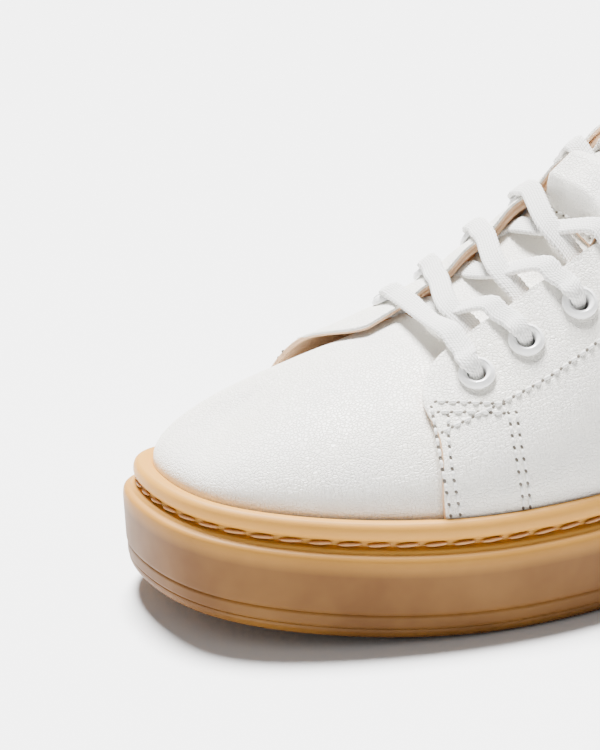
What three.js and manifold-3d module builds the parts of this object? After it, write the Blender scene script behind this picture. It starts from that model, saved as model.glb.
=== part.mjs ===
// A low leather court shoe for the left foot, in millimetres, +Z up.
//
// The toe points to -Y, the outer side of the foot is +X, and the origin lies under the middle of
// the shoe's box.  A place along the shoe is its station: the distance from the toe tip.
// The shoe is a rubber cup that holds a lasted leather upper.  Every layer of the upper is a slab
// that follows one base surface, so the layers lie on each other with a small gap between them.

import * as THREE from 'three';
import { mergeVertices } from 'three/addons/utils/BufferGeometryUtils.js';
import Module from 'manifold-3d';

// ---------------------------------------------------------------- driving dimensions

const LENGTH = 300;                // outsole, toe tip to heel
const SOLE_STEPS = 44;             // sections round the sole
const TOE_SPRING = 8.9;            // lift of the outsole at the toe tip
const SPRING_START = 85;           // station where the toe spring begins
const GAP = 0.3;                   // clearance between pieces that touch

const CUP = {
  rimTop: 31,                      // top of the rolled rim
  featherInset: 9.0,               // from the outer wall to the upper's base surface
  cavityInset: 6.0,                // from the outer wall to the inside of the cup
  floor: 5,                        // thickness under the foot
  threadInset: 4.3,
  threadHeight: 25.4,
  threadRadius: 0.55,
};

const FILLER = { toe: 12, heel: 18 };      // height of the foam filler's top
const BOARD_THICKNESS = 1.6;
const BOARD_INSET = 16;
const TUCK = 1.0;                  // how far the upper draws in below the rim
const SOCK_FOAM = 3.4;
const SOCK_COVER = 0.9;
const SOCK_CLEARANCE = 0.5;        // how much further in the sockliner lies than the board

const EYELETS = {
  pairs: 6,
  firstStation: 87.5,
  firstPitch: 14.3,
  pitch: 16.3,
  fromEdge: 12,                  // eyestay edge to eyelet centre
  flangeRadius: 5.0,
  boreRadius: 2.5,
  barrelRadius: 3.0,
  holeRadius: 3.3,
};

const LACE = { width: 8, thickness: 1.8, pinched: 3.9 };
const AGLET = { length: 20, radius: 1.6 };

// Layers of the upper as [inner, outer] distances from the base surface, outwards positive.
const LAYER = {
  quarter: [0.6, 1.7],
  vamp: [-1.5, -0.3],
  reinforcement: [-1.6, -0.5],
  quarterLining: [-2.8, -2.0],
  toePuff: [-3.4, -2.6],
  vampLining: [-5.3, -4.6],
  counter: [-1.8, -0.3],
  heelTab: [2.1, 3.2],
  tongueLeather: [-6.0, -5.0],
  tongueFoam: [-7.9, -6.3],
  tongueLining: [-9.9, -9.2],
};

const TONGUE = { front: 79, hinge: 171, top: 190, halfWidth: 26, frontHalfWidth: 15, centre: 3 };
const HINGE_GAP = 0.9;             // half the clearance across the tongue's flex line
const KEEPER_LEVEL = 3;            // the crossing that the keeper holds, counted from the toe
const KEEPER = { front: 133, back: 152, halfWidth: 7, thickness: 1.1, lift: 9.1 };

// ---------------------------------------------------------------- curves

// Sole outline as [x, station] pairs: toe tip, outer side, heel, inner side.
const SOLE_OUTLINE = [
  [-9, 0], [18, 6], [38, 29], [53, 65], [58.5, 104], [54.5, 145], [46, 185], [41, 222],
  [39.5, 256], [30, 287], [0, 300], [-30, 287], [-39, 256], [-38, 222], [-35, 185],
  [-39, 145], [-48, 104], [-53, 65], [-48.5, 30], [-35, 7],
];

// Crest of the upper over the foot as [station, x, z].
const SPINE = [
  [30, -13, 50], [42, -13, 57], [60, -12.5, 63], [78, -12, 67.5], [92, -12, 72.5], [105, -11.5, 79.5],
  [120, -11, 88.5], [135, -10.5, 98], [150, -10, 108], [165, -9.5, 117],
  [180, -9, 124.5], [200, -9, 133],
];

// Height of the ankle opening's edge as [station, z].
const COLLAR = [
  [150, 124], [172, 116], [190, 100], [205, 86], [222, 75], [240, 69.5], [258, 71], [275, 78], [300, 88],
];

/** Smooth closed curve through points: uniform cubic B-spline that meets each of them. */
function closedSpline(points) {
  const count = points.length;
  let control = points.map((p) => [...p]);
  for (let pass = 0; pass < 40; pass += 1) {
    control = points.map((p, i) => p.map((value, axis) => (
      1.5 * value - 0.25 * (control[(i + count - 1) % count][axis] + control[(i + 1) % count][axis])
    )));
  }
  return (t) => {
    const place = (((t % 1) + 1) % 1) * count;
    const i = Math.floor(place);
    const u = place - i;
    const weights = [
      (1 - u) ** 3, 3 * u ** 3 - 6 * u ** 2 + 4, -3 * u ** 3 + 3 * u ** 2 + 3 * u + 1, u ** 3,
    ];
    return points[0].map((_, axis) => weights.reduce(
      (sum, weight, k) => sum + (weight / 6) * control[(i + k - 1 + count) % count][axis],
      0,
    ));
  };
}

/** Smooth function through [place, value] rows: cubic pieces with averaged slopes. */
function throughRows(rows, column) {
  const slope = rows.map((_, i) => {
    const a = rows[Math.max(i - 1, 0)];
    const b = rows[Math.min(i + 1, rows.length - 1)];
    return (b[column] - a[column]) / (b[0] - a[0]);
  });
  return (place) => {
    const last = rows.length - 2;
    let i = 0;
    while (i < last && place > rows[i + 1][0]) i += 1;
    const span = rows[i + 1][0] - rows[i][0];
    const u = (place - rows[i][0]) / span;
    const rise = rows[i + 1][column] - rows[i][column];
    const cubic = (slope[i] + slope[i + 1]) * span - 2 * rise;
    const square = 3 * rise - (2 * slope[i] + slope[i + 1]) * span;
    return rows[i][column] + slope[i] * span * u + square * u ** 2 + cubic * u ** 3;
  };
}

const clamp = (value, low, high) => Math.min(high, Math.max(low, value));
const mix = (a, b, u) => a + (b - a) * u;
const ease = (value, from, to) => {
  const u = clamp((value - from) / (to - from), 0, 1);
  return u * u * (3 - 2 * u);
};

const outline = closedSpline(SOLE_OUTLINE);
const spineX = throughRows(SPINE, 1);
const spineZ = throughRows(SPINE, 2);
const collarZ = throughRows(COLLAR, 1);

/** Height that the toe spring adds at a station. */
const lift = (station) => TOE_SPRING * clamp((SPRING_START - station) / SPRING_START, 0, 1) ** 2;

/** Unit vector pointing out of the sole outline, in plan, as [x, station]. */
function outward(t) {
  const step = 1e-3;
  const a = outline(t - step);
  const b = outline(t + step);
  const [dx, ds] = [b[0] - a[0], b[1] - a[1]];
  const size = Math.hypot(dx, ds);
  return [ds / size, -dx / size];
}

/** Point a given inset inside the outline, as [x, station]. */
function inset(t, distance) {
  const [x, s] = outline(t);
  const [nx, ns] = outward(t);
  return [x - nx * distance, s - ns * distance];
}

const at = (x, station, z) => new THREE.Vector3(x, station - LENGTH / 2, z);

/** Parameter of the outline at a station: 0..0.5 on the outer side, 1..0.5 on the inner side. */
function parameterAt(station, side) {
  let [low, high] = [0, 0.5];
  for (let pass = 0; pass < 30; pass += 1) {
    const middle = (low + high) / 2;
    const s = inset(side > 0 ? middle : 1 - middle, CUP.featherInset)[1];
    if (s < station) low = middle;
    else high = middle;
  }
  return (low + high) / 2;
}

// ---------------------------------------------------------------- base surface of the upper

const bezier = (p, v) => {
  const u = 1 - v;
  return new THREE.Vector3()
    .addScaledVector(p[0], u ** 3)
    .addScaledVector(p[1], 3 * u * u * v)
    .addScaledVector(p[2], 3 * u * v * v)
    .addScaledVector(p[3], v ** 3);
};

/** Control points of the part of a cubic from 0 to v. */
function firstPart(p, v) {
  const [a, b, c] = [0, 1, 2].map((i) => p[i].clone().lerp(p[i + 1], v));
  const d = a.clone().lerp(b, v);
  const e = b.clone().lerp(c, v);
  return [p[0], a, d, d.clone().lerp(e, v)];
}

/** Station on the crest that the section rising from a feather station reaches. */
const crestStation = (station) => station + 30 * clamp(1 - (station - 8) / 92, 0, 1) ** 1.5;

// Shape of the forefoot sections on each side: how far out they stay level at the crest, and
// the share of their height that they rise nearly upright.
const CREST_REACH = { outer: 0.45, inner: 0.78, toe: 0.53 };
const WALL_RISE = { outer: 0.55, inner: 0.7 };

/** Section over the forefoot: from the feather edge, up the side, to the crest. */
function forefootSection(t) {
  const [x, s] = inset(t, CUP.featherInset);
  const foot = at(x, s, CUP.rimTop - 1 + lift(s));
  const top = crestStation(s);
  const crest = at(spineX(top), top, spineZ(top));
  const [nx, ns] = outward(t);
  const slope = (spineZ(top + 2) - spineZ(top - 2)) / 4;
  const flank = sideOf(t) > 0 ? 'outer' : 'inner';
  const past = ease(s, 10, 60);
  const wallRise = mix(WALL_RISE.outer, WALL_RISE[flank], past);
  const span = Math.hypot(crest.x - foot.x, crest.y - foot.y);
  const reach = mix(CREST_REACH.toe, CREST_REACH[flank], past) * span;
  const rise = crest.z - foot.z;
  const wall = foot.clone().add(new THREE.Vector3(nx, ns, rise * wallRise));
  const shoulder = crest.clone().add(new THREE.Vector3(nx, ns, ns * slope).multiplyScalar(reach));
  return [foot, wall, shoulder, crest];
}

/** Section round the ankle: from the feather edge up to the edge of the collar. */
function ankleSection(t) {
  const [x, s] = inset(t, CUP.featherInset);
  const foot = at(x, s, CUP.rimTop - 1 + lift(s));
  const [nx, ns] = outward(t);
  const height = collarZ(s + CUP.featherInset * ease(s, 260, 290));
  const [tx, ts] = inset(t, 12.5);
  const edge = at(tx, ts, height);
  const rise = edge.z - foot.z;
  const wall = foot.clone().add(new THREE.Vector3(nx, ns, rise * 0.35));
  const lean = edge.clone().add(new THREE.Vector3(nx * 3.2, ns * 3.2, -rise * 0.38));
  return [foot, wall, lean, edge];
}

/** Distance from the lacing axis to the edge of the eyestay. */
const edgeX = (station, side) => (
  side > 0 ? 18 + 0.04 * (station - 90) : -(13 + 0.05 * (station - 90))
);

/** Part of a forefoot section that reaches a given x. */
function sectionAtX(p, x, side) {
  let [low, high] = [0, 1];
  for (let pass = 0; pass < 26; pass += 1) {
    const middle = (low + high) / 2;
    if ((bezier(p, middle).x - x) * side > 0) low = middle;
    else high = middle;
  }
  return low;
}

const sideOf = (t) => (t < 0.5 ? 1 : -1);

/** Height that the edge of the eyestay stands proud of the vamp and tongue. */
const FACING = { outer: 1, outerRise: 5, inner: 0.8, innerRise: 0.8, innerGrowth: 2 };
const facingLift = (station, side) => {
  if (side > 0) return FACING.outer + FACING.outerRise * ease(station, 66, 96);
  const front = FACING.inner + FACING.innerRise * ease(station, 56, 84);
  return front + FACING.innerGrowth * ease(station, 90, 165);
};

/** Section of the quarter: up to the eyestay edge in front, and to the collar behind. */
function quarterSection(t) {
  const side = sideOf(t);
  const [, s] = inset(t, CUP.featherInset);
  const back = ease(s, 174, 208);
  const ankle = back > 0 ? ankleSection(t) : null;
  if (back === 1) return ankle;
  const whole = forefootSection(t);
  const front = firstPart(whole, sectionAtX(whole, edgeX(clamp(s, 60, 175), side), side));
  const proud = facingLift(s, side);
  front[2].z += proud * 0.45;
  front[3].z += proud;
  return ankle ? front.map((p, i) => p.clone().lerp(ankle[i], back)) : front;
}

/** Point of a section, with heights below 0 running down inside the rubber cup. */
function onSection(p, t, v) {
  if (v >= 0) return bezier(p, v);
  const s = p[0].y + LENGTH / 2;
  const bottom = fillerTop(s) + GAP + lift(s);
  const [nx, ns] = outward(t);
  const point = p[0].clone().add(new THREE.Vector3(nx, ns, 0).multiplyScalar(TUCK * v));
  point.z = mix(p[0].z, bottom, -v);
  return point;
}

const fillerTop = (station) => mix(FILLER.toe, FILLER.heel, ease(station, 90, 210));

const forefoot = (t, v) => onSection(forefootSection(t), t, v);
const quarter = (t, v) => onSection(quarterSection(t), t, v);

/** Outward unit normal of a surface, by differences. */
function normalOf(surface, t, v) {
  const step = 2e-3;
  const top = v > 0.97 ? v - step : v + step;
  const along = surface(t + step, v).sub(surface(t - step, v));
  const up = surface(t, top).sub(surface(t, v)).multiplyScalar(top > v ? 1 : -1);
  return along.cross(up).normalize();
}

const offset = (surface, t, v, distance) => (
  surface(t, v).addScaledVector(normalOf(surface, t, v), distance)
);

// ---------------------------------------------------------------- closed meshes

/** Closed geometry from points and faces, with shared points welded and empty faces dropped. */
function closed(points, faces) {
  const keys = new Map();
  const place = points.map((p) => {
    const key = [p.x, p.y, p.z].map((value) => Math.round(value * 2000)).join();
    if (!keys.has(key)) keys.set(key, keys.size);
    return keys.get(key);
  });
  const welded = new Array(keys.size);
  points.forEach((p, i) => { welded[place[i]] = p; });
  const index = faces.flatMap(([a, b, c]) => {
    const face = [place[a], place[b], place[c]];
    return new Set(face).size === 3 ? face : [];
  });
  const geometry = new THREE.BufferGeometry();
  const flat = welded.flatMap((p) => [p.x, p.y, p.z]);
  geometry.setAttribute('position', new THREE.Float32BufferAttribute(flat, 3));
  geometry.setIndex(index);
  return outwardFacing(geometry);
}

/** The same geometry with its faces turned to point out. */
function outwardFacing(geometry) {
  const position = geometry.attributes.position;
  const index = geometry.index.array;
  const [a, b, c] = [new THREE.Vector3(), new THREE.Vector3(), new THREE.Vector3()];
  let volume = 0;
  for (let i = 0; i < index.length; i += 3) {
    a.fromBufferAttribute(position, index[i]);
    b.fromBufferAttribute(position, index[i + 1]);
    c.fromBufferAttribute(position, index[i + 2]);
    volume += a.dot(b.cross(c));
  }
  if (volume < 0) {
    for (let i = 0; i < index.length; i += 3) [index[i], index[i + 1]] = [index[i + 1], index[i]];
  }
  geometry.computeVertexNormals();
  return geometry;
}

/** Grid of quads, as triangles over a rows x columns net of points. */
function net(rows, columns, first, flip) {
  const faces = [];
  for (let r = 0; r + 1 < rows; r += 1) {
    for (let c = 0; c + 1 < columns; c += 1) {
      const a = first + r * columns + c;
      const [b, d, e] = [a + 1, a + columns, a + columns + 1];
      faces.push(flip ? [a, d, b] : [a, b, d], flip ? [b, d, e] : [b, e, d]);
    }
  }
  return faces;
}

/**
 * Slab between an inner and an outer sheet given as functions of (u, v) in 0..1.
 * foldedStart welds the u = 0 row of each sheet on itself instead of walling it.
 */
function slab(inner, outer, rows, columns, foldedStart = false) {
  const points = [];
  [inner, outer].forEach((sheet) => {
    for (let r = 0; r < rows; r += 1) {
      for (let c = 0; c < columns; c += 1) points.push(sheet(r / (rows - 1), c / (columns - 1)));
    }
  });
  const size = rows * columns;
  const faces = [...net(rows, columns, 0, true), ...net(rows, columns, size, false)];
  const wall = (a, b) => faces.push([a, b, a + size], [b, b + size, a + size]);
  for (let c = 0; c + 1 < columns; c += 1) {
    if (!foldedStart) wall(c, c + 1);
    wall((rows - 1) * columns + c + 1, (rows - 1) * columns + c);
  }
  for (let r = 0; r + 1 < rows; r += 1) {
    wall((r + 1) * columns, r * columns);
    wall(r * columns + columns - 1, (r + 1) * columns + columns - 1);
  }
  return closed(points, faces);
}

/**
 * Sole piece: a profile of [inset, z, toCentre] rows carried round the outline.
 * toCentre from 0 to 1 draws a point in towards the middle line of the sole.
 */
function roundTheSole(profile, steps, looped = false) {
  const points = [];
  for (let k = 0; k < steps; k += 1) {
    const t = k / steps;
    profile.forEach(([distance, z, toCentre = 0]) => {
      const [x, s] = inset(t, distance);
      const [mx, ms] = inset(1 - t, distance);
      const cx = mix(x, (x + mx) / 2, toCentre);
      const cs = mix(s, (s + ms) / 2, toCentre);
      const height = typeof z === 'function' ? z(cs) : z;
      points.push(at(cx, cs, height + lift(cs)));
    });
  }
  const size = profile.length;
  const faces = [];
  for (let k = 0; k < steps; k += 1) {
    const next = (k + 1) % steps;
    for (let c = 0; c < (looped ? size : size - 1); c += 1) {
      const [a, b] = [k * size + c, k * size + ((c + 1) % size)];
      const [d, e] = [next * size + c, next * size + ((c + 1) % size)];
      faces.push([a, b, d], [b, e, d]);
    }
  }
  return closed(points, faces);
}

/** Ribbon along a curve: section(u) is [half width, half thickness], widthAxis(u) its direction. */
function ribbon(curve, steps, sides, section, widthAxis) {
  const points = [];
  for (let k = 0; k <= steps; k += 1) {
    const u = k / steps;
    const centre = curve.getPoint(u);
    const tangent = curve.getTangent(u);
    const across = widthAxis(u);
    across.addScaledVector(tangent, -across.dot(tangent)).normalize();
    const thick = tangent.clone().cross(across);
    const [halfWidth, halfThickness] = section(u);
    for (let j = 0; j < sides; j += 1) {
      const angle = (2 * Math.PI * j) / sides;
      points.push(centre.clone()
        .addScaledVector(across, halfWidth * Math.cos(angle))
        .addScaledVector(thick, halfThickness * Math.sin(angle)));
    }
  }
  const faces = [];
  for (let k = 0; k < steps; k += 1) {
    for (let j = 0; j < sides; j += 1) {
      const [a, b] = [k * sides + j, k * sides + ((j + 1) % sides)];
      faces.push([a, b, a + sides], [b, b + sides, a + sides]);
    }
  }
  for (let j = 1; j + 1 < sides; j += 1) {
    faces.push([0, j + 1, j]);
    faces.push([steps * sides, steps * sides + j, steps * sides + j + 1]);
  }
  return closed(points, faces);
}

// ---------------------------------------------------------------- boolean cuts

const wasm = await Module();
wasm.setup();

function toSolid(geometry) {
  const bare = geometry.clone();
  bare.deleteAttribute('normal');
  bare.deleteAttribute('uv');
  const merged = mergeVertices(bare, 1e-4);
  return new wasm.Manifold(new wasm.Mesh({
    numProp: 3,
    vertProperties: new Float32Array(merged.attributes.position.array),
    triVerts: new Uint32Array(merged.index.array),
  }));
}

function toGeometry(solid) {
  const { vertProperties, triVerts } = solid.getMesh();
  const geometry = new THREE.BufferGeometry();
  geometry.setAttribute('position', new THREE.BufferAttribute(vertProperties, 3));
  geometry.setIndex(new THREE.BufferAttribute(triVerts, 1));
  geometry.computeVertexNormals();
  return geometry;
}

// ---------------------------------------------------------------- eyelets and their holes

const quarterParameter = (station, side) => {
  const half = parameterAt(station, side);
  return side > 0 ? half : 1 - half;
};

/** Parameters (t, v) on the quarter of a point a distance down from the eyestay edge. */
function eyestayPlace(station, side, fromEdge) {
  const t = quarterParameter(station - (crestStation(station) - station) * 0.7, side);
  const section = quarterSection(t);
  const step = 0.004;
  let [v, walked] = [1, 0];
  let last = bezier(section, v);
  while (walked < fromEdge && v > 0) {
    v -= step;
    const next = bezier(section, v);
    walked += next.distanceTo(last);
    last = next;
  }
  return [t, v];
}

const eyeletStation = (i) => (
  EYELETS.firstStation + (i > 0 ? EYELETS.firstPitch + EYELETS.pitch * (i - 1) : 0)
);

/** Frame of eyelet i on a side: its centre on the base surface and the outward normal. */
function eyeletFrame(i, side) {
  const [t, v] = eyestayPlace(eyeletStation(i), side, EYELETS.fromEdge);
  return { centre: quarter(t, v), normal: normalOf(quarter, t, v) };
}

const Y_AXIS = new THREE.Vector3(0, 1, 0);

/** Places an object whose own axis is Y at a point along a direction. */
function aim(object, point, direction) {
  object.position.copy(point);
  object.quaternion.setFromUnitVectors(Y_AXIS, direction);
  return object;
}

/** Cuts the six eyelet holes of one side out of a layer. */
function pierce(geometry, side) {
  let solid = toSolid(geometry);
  for (let i = 0; i < EYELETS.pairs; i += 1) {
    const { centre, normal } = eyeletFrame(i, side);
    const drill = new THREE.CylinderGeometry(EYELETS.holeRadius, EYELETS.holeRadius, 12, 12);
    const holder = aim(new THREE.Object3D(), centre, normal);
    holder.updateMatrix();
    drill.applyMatrix4(holder.matrix);
    solid = solid.subtract(toSolid(drill));
  }
  return toGeometry(solid);
}

// ---------------------------------------------------------------- the parts

const shoe = new THREE.Group();

const FINISH = {
  gum: { color: 0xc1915c, roughness: 0.5 },
  whiteLeather: { color: 0xf2f1ec, roughness: 0.55 },
  tanLining: { color: 0xdebe9f, roughness: 0.8 },
  foam: { color: 0xe8e2d2, roughness: 0.95 },
  board: { color: 0xb9a283, roughness: 0.9 },
  stiffener: { color: 0xd9d4c8, roughness: 0.8 },
  thread: { color: 0x8e5a33, roughness: 0.7 },
  enamel: { color: 0xf4f4f2, roughness: 0.25, metalness: 0.2 },
  cotton: { color: 0xf7f7f5, roughness: 0.95 },
  clearPlastic: { color: 0xe9ecec, roughness: 0.2 },
};

function add(name, geometry, finish) {
  const mesh = new THREE.Mesh(geometry, new THREE.MeshStandardMaterial(FINISH[finish]));
  mesh.name = name;
  shoe.add(mesh);
  return mesh;
}

function addSole() {
  const cupProfile = [
    [CUP.cavityInset, CUP.floor, 1], [CUP.cavityInset, CUP.floor, 0.5], [CUP.cavityInset, CUP.floor],
    [CUP.cavityInset, 28], [6.6, 29.8], [6.0, 30.7], [5.2, CUP.rimTop], [4.4, 30.5], [3.8, 29.3],
    [3.7, 27.8], [4.1, 26.5], [5.0, 26.2], [5.0, 24.4], [3.4, 24.2], [2.6, 23.3], [1.0, 22.6],
    [0.2, 21],
    [0, 7.2], [0.3, 6.6], [0.3, 3.4], [0.8, 1.2], [2.5, 0], [9, 0, 0.5], [9, 0, 1],
  ];
  add('outsole_cup', roundTheSole(cupProfile, SOLE_STEPS), 'gum');

  const fillerInset = CUP.cavityInset + GAP;
  const fillerBottom = CUP.floor + GAP;
  add('midsole_filler', roundTheSole([
    [fillerInset, fillerTop, 1], [fillerInset, fillerTop, 0.5], [fillerInset, fillerTop],
    [fillerInset, fillerBottom], [fillerInset, fillerBottom, 0.5], [fillerInset, fillerBottom, 1],
  ], SOLE_STEPS), 'foam');

  const plate = (edge, low, high) => {
    const bottom = (s) => fillerTop(s) + low;
    const top = (s) => fillerTop(s) + high;
    return roundTheSole([
      [edge, top, 1], [edge, top, 0.5], [edge, top],
      [edge, bottom], [edge, bottom, 0.5], [edge, bottom, 1],
    ], SOLE_STEPS);
  };
  const boardTop = GAP + BOARD_THICKNESS;
  const foamTop = boardTop + GAP + SOCK_FOAM;
  add('lasting_board', plate(BOARD_INSET, GAP, boardTop), 'board');
  const sockInset = BOARD_INSET + SOCK_CLEARANCE;
  const coverBottom = foamTop + GAP;
  add('sockliner_foam', plate(sockInset, boardTop + GAP, foamTop), 'foam');
  add('sockliner_cover', plate(sockInset, coverBottom, coverBottom + SOCK_COVER), 'tanLining');

  const { threadInset, threadHeight, threadRadius } = CUP;
  const strand = [0, 1, 2, 3, 4, 5].map((i) => [
    threadInset + threadRadius * Math.cos((Math.PI * i) / 3),
    threadHeight + threadRadius * Math.sin((Math.PI * i) / 3),
  ]);
  add('sole_stitch_thread', roundTheSole(strand, SOLE_STEPS, true), 'thread');
}

/** Layer over the toe and forefoot: rows from the toe tip back, columns from side to side. */
function forefootLayer([low, high], sideStation, throatStation, bottom, rows, columns) {
  const sheet = (distance) => (u, w) => {
    const across = 2 * w - 1;
    const v = mix(bottom, 1, 1 - Math.abs(across) ** 1.15);
    const side = across < 0 ? 1 : -1;
    const reach = parameterAt(mix(sideStation, throatStation, ease(v, 0.2, 0.6)), side);
    const t = u ** 0.85 * reach;
    return offset(forefoot, side > 0 ? t : -t, Math.min(v, 0.9999), distance);
  };
  return slab(sheet(low), sheet(high), rows, columns, true);
}

const VAMP = { side: 100, throat: 80, bottom: -1 };       // stations where it ends; lower border
const VAMP_LINING = { side: 94, throat: 73, bottom: -1 };
const TOE_PUFF = { side: 42, throat: 20, bottom: -0.8 };

function addForefoot() {
  const layer = (range, { side, throat, bottom }, rows) => (
    forefootLayer(range, side, throat, bottom, rows, 17)
  );
  add('vamp', layer(LAYER.vamp, VAMP, 14), 'whiteLeather');
  add('toe_puff', layer(LAYER.toePuff, TOE_PUFF, 9), 'stiffener');
  add('vamp_lining', layer(LAYER.vampLining, VAMP_LINING, 14), 'tanLining');
}

const FRONT_EDGE = { outer: 65, inner: 53, slant: 4.5, cornerRound: 13 };

const TUCK_SHARE = 0.25;           // share of a quarter's rows that lie inside the cup

/** Layer of one quarter from a front edge to a station behind, or to the heel seam. */
function quarterLayer([low, high], side, from, to, rows, columns) {
  const sheet = (distance) => (u, w) => {
    const v = w < TUCK_SHARE ? w / TUCK_SHARE - 1 : (w - TUCK_SHARE) / (1 - TUCK_SHARE);
    const start = parameterAt(from(clamp(v, 0, 1)), side);
    const end = to === null ? 0.5 : parameterAt(to, side);
    const half = mix(start, end, u);
    return offset(quarter, side > 0 ? half : 1 - half, v, distance);
  };
  return slab(sheet(low), sheet(high), rows, columns);
}

const SIDES = [['lateral', 1], ['medial', -1]];

/** Station of the quarter's front edge at height v, with its top corner rounded. */
const frontEdge = (side) => (v) => {
  const start = side > 0 ? FRONT_EDGE.outer : FRONT_EDGE.inner;
  const bend = clamp((v - 0.74) / 0.26, 0, 1);
  const round = FRONT_EDGE.cornerRound * (1 - Math.sqrt(1 - bend * bend));
  return start + FRONT_EDGE.slant * ease(v, 0.1, 0.65) + round;
};

/** Station of the quarter lining's front edge at height v: it meets the vamp lining. */
const liningFront = (v) => mix(104, 92, ease(v, 0.2, 0.6));

function addQuarters() {
  SIDES.forEach(([name, side]) => {
    const leather = quarterLayer(LAYER.quarter, side, frontEdge(side), null, 21, 9);
    add(`quarter_${name}`, pierce(leather, side), 'whiteLeather');
    const lining = quarterLayer(LAYER.quarterLining, side, liningFront, 184, 11, 9);
    add(`quarter_lining_${name}`, pierce(lining, side), 'tanLining');
  });
}

/**
 * Layer round the heel and ankle, from a station on the outer side to the same on the inner side.
 * distances(v, u) gives its inner and outer sheets, and heightAt(w) its heights v.
 */
function heelLayer(distances, from, heightAt, rows, columns) {
  const reachOuter = parameterAt(from, 1);
  const reachInner = 1 - parameterAt(from, -1);
  const sheet = (which) => (u, w) => {
    const t = mix(reachOuter, reachInner, u);
    const v = heightAt(w);
    return offset(quarter, t, v, distances(v, u)[which]);
  };
  return slab(sheet(0), sheet(1), rows, columns);
}

const PAD_DEPTH = 5.2;
const PAD_LOW = 0.42;              // heights of the pad's lower and upper edges
const COLLAR_TOP = 0.985;
const COLLAR_FRONT = 186;          // station where the pad and its lining begin

/** Swelling of the collar pad: 0 where the pad starts and ends, 1 at its fullest. */
const padSwell = (v, u) => (
  ease(v, PAD_LOW, 0.72) * (1 - ease(v, 0.93, 1) * 0.6) * ease(u, 0, 0.14) * ease(1 - u, 0, 0.14)
);

const COLLAR_LAYER = { foam: [-2.7, -2.3], lining: [-4, -3.1] };   // faces where there is no pad
const COUNTER = { front: 236, bottom: -0.9, top: 0.5 };
const HEEL_TAB = { front: 284, bottom: 0.52, top: 0.99, thinning: 0.3 };

function addHeel() {
  const steady = (range) => () => range;
  const counter = heelLayer(steady(LAYER.counter), COUNTER.front, (w) => (
    mix(COUNTER.bottom, COUNTER.top, w)
  ), 17, 6);
  add('heel_counter', counter, 'stiffener');
  const padSide = (v, u) => PAD_DEPTH * padSwell(v, u);
  add('collar_foam', heelLayer(
    (v, u) => [COLLAR_LAYER.foam[0] - padSide(v, u), COLLAR_LAYER.foam[1]],
    COLLAR_FRONT,
    (w) => mix(PAD_LOW, COLLAR_TOP, w),
    27,
    7,
  ), 'foam');
  add('collar_lining', heelLayer(
    (v, u) => [COLLAR_LAYER.lining[0] - padSide(v, u), COLLAR_LAYER.lining[1] - padSide(v, u)],
    COLLAR_FRONT,
    (w) => (w < 0.4 ? mix(-1, PAD_LOW, w / 0.4) : mix(PAD_LOW, COLLAR_TOP, (w - 0.4) / 0.6)),
    27,
    11,
  ), 'tanLining');
  const tab = (u) => Math.abs(2 * u - 1);
  add('heel_tab', heelLayer((v, u) => (
    [LAYER.heelTab[0], LAYER.heelTab[1] - HEEL_TAB.thinning * tab(u)]
  ), HEEL_TAB.front, (w) => mix(HEEL_TAB.bottom, HEEL_TAB.top, w), 9, 6), 'whiteLeather');
}

const REINFORCEMENT = { front: 92, back: 176, bottom: 0.62, top: 0.99 };

/** Layer under the eyestay edge, between two stations. */
function addReinforcements() {
  SIDES.forEach(([name, side]) => {
    const sheet = (distance) => (u, w) => {
      const t = quarterParameter(mix(REINFORCEMENT.front, REINFORCEMENT.back, u), side);
      return offset(quarter, t, mix(REINFORCEMENT.bottom, REINFORCEMENT.top, w), distance);
    };
    const [low, high] = LAYER.reinforcement;
    const geometry = slab(sheet(low), sheet(high), 11, 5);
    add(`eyestay_reinforcement_${name}`, pierce(geometry, side), 'stiffener');
  });
}

/** Point over the foot at a station and x, a distance off the base surface. */
function overFoot(station, x, distance) {
  const side = x < spineX(station) ? -1 : 1;
  const half = parameterAt(featherStation(station), side);
  const t = side > 0 ? half : 1 - half;
  return offset(forefoot, t, Math.min(sectionAtX(forefootSection(t), x, side), 0.999), distance);
}

const TONGUE_DROOP = 1.6;           // how far the tongue's sides hang below its middle

/** Point on the tongue: a share of its half width across, at a station. */
function tonguePoint(station, across, distance) {
  const widening = ease(station, TONGUE.front, 108) - 0.25 * ease(station, 150, TONGUE.top);
  const spread = mix(TONGUE.frontHalfWidth, TONGUE.halfWidth, widening);
  const droop = TONGUE_DROOP * ease(Math.abs(across), 0.3, 0.7);
  return overFoot(station, TONGUE.centre + across * spread, distance - droop);
}

/** Feather station whose section reaches the crest at a station. */
function featherStation(station) {
  let [low, high] = [station - 40, station];
  for (let pass = 0; pass < 24; pass += 1) {
    const middle = (low + high) / 2;
    if (crestStation(middle) < station) low = middle;
    else high = middle;
  }
  return low;
}

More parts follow.
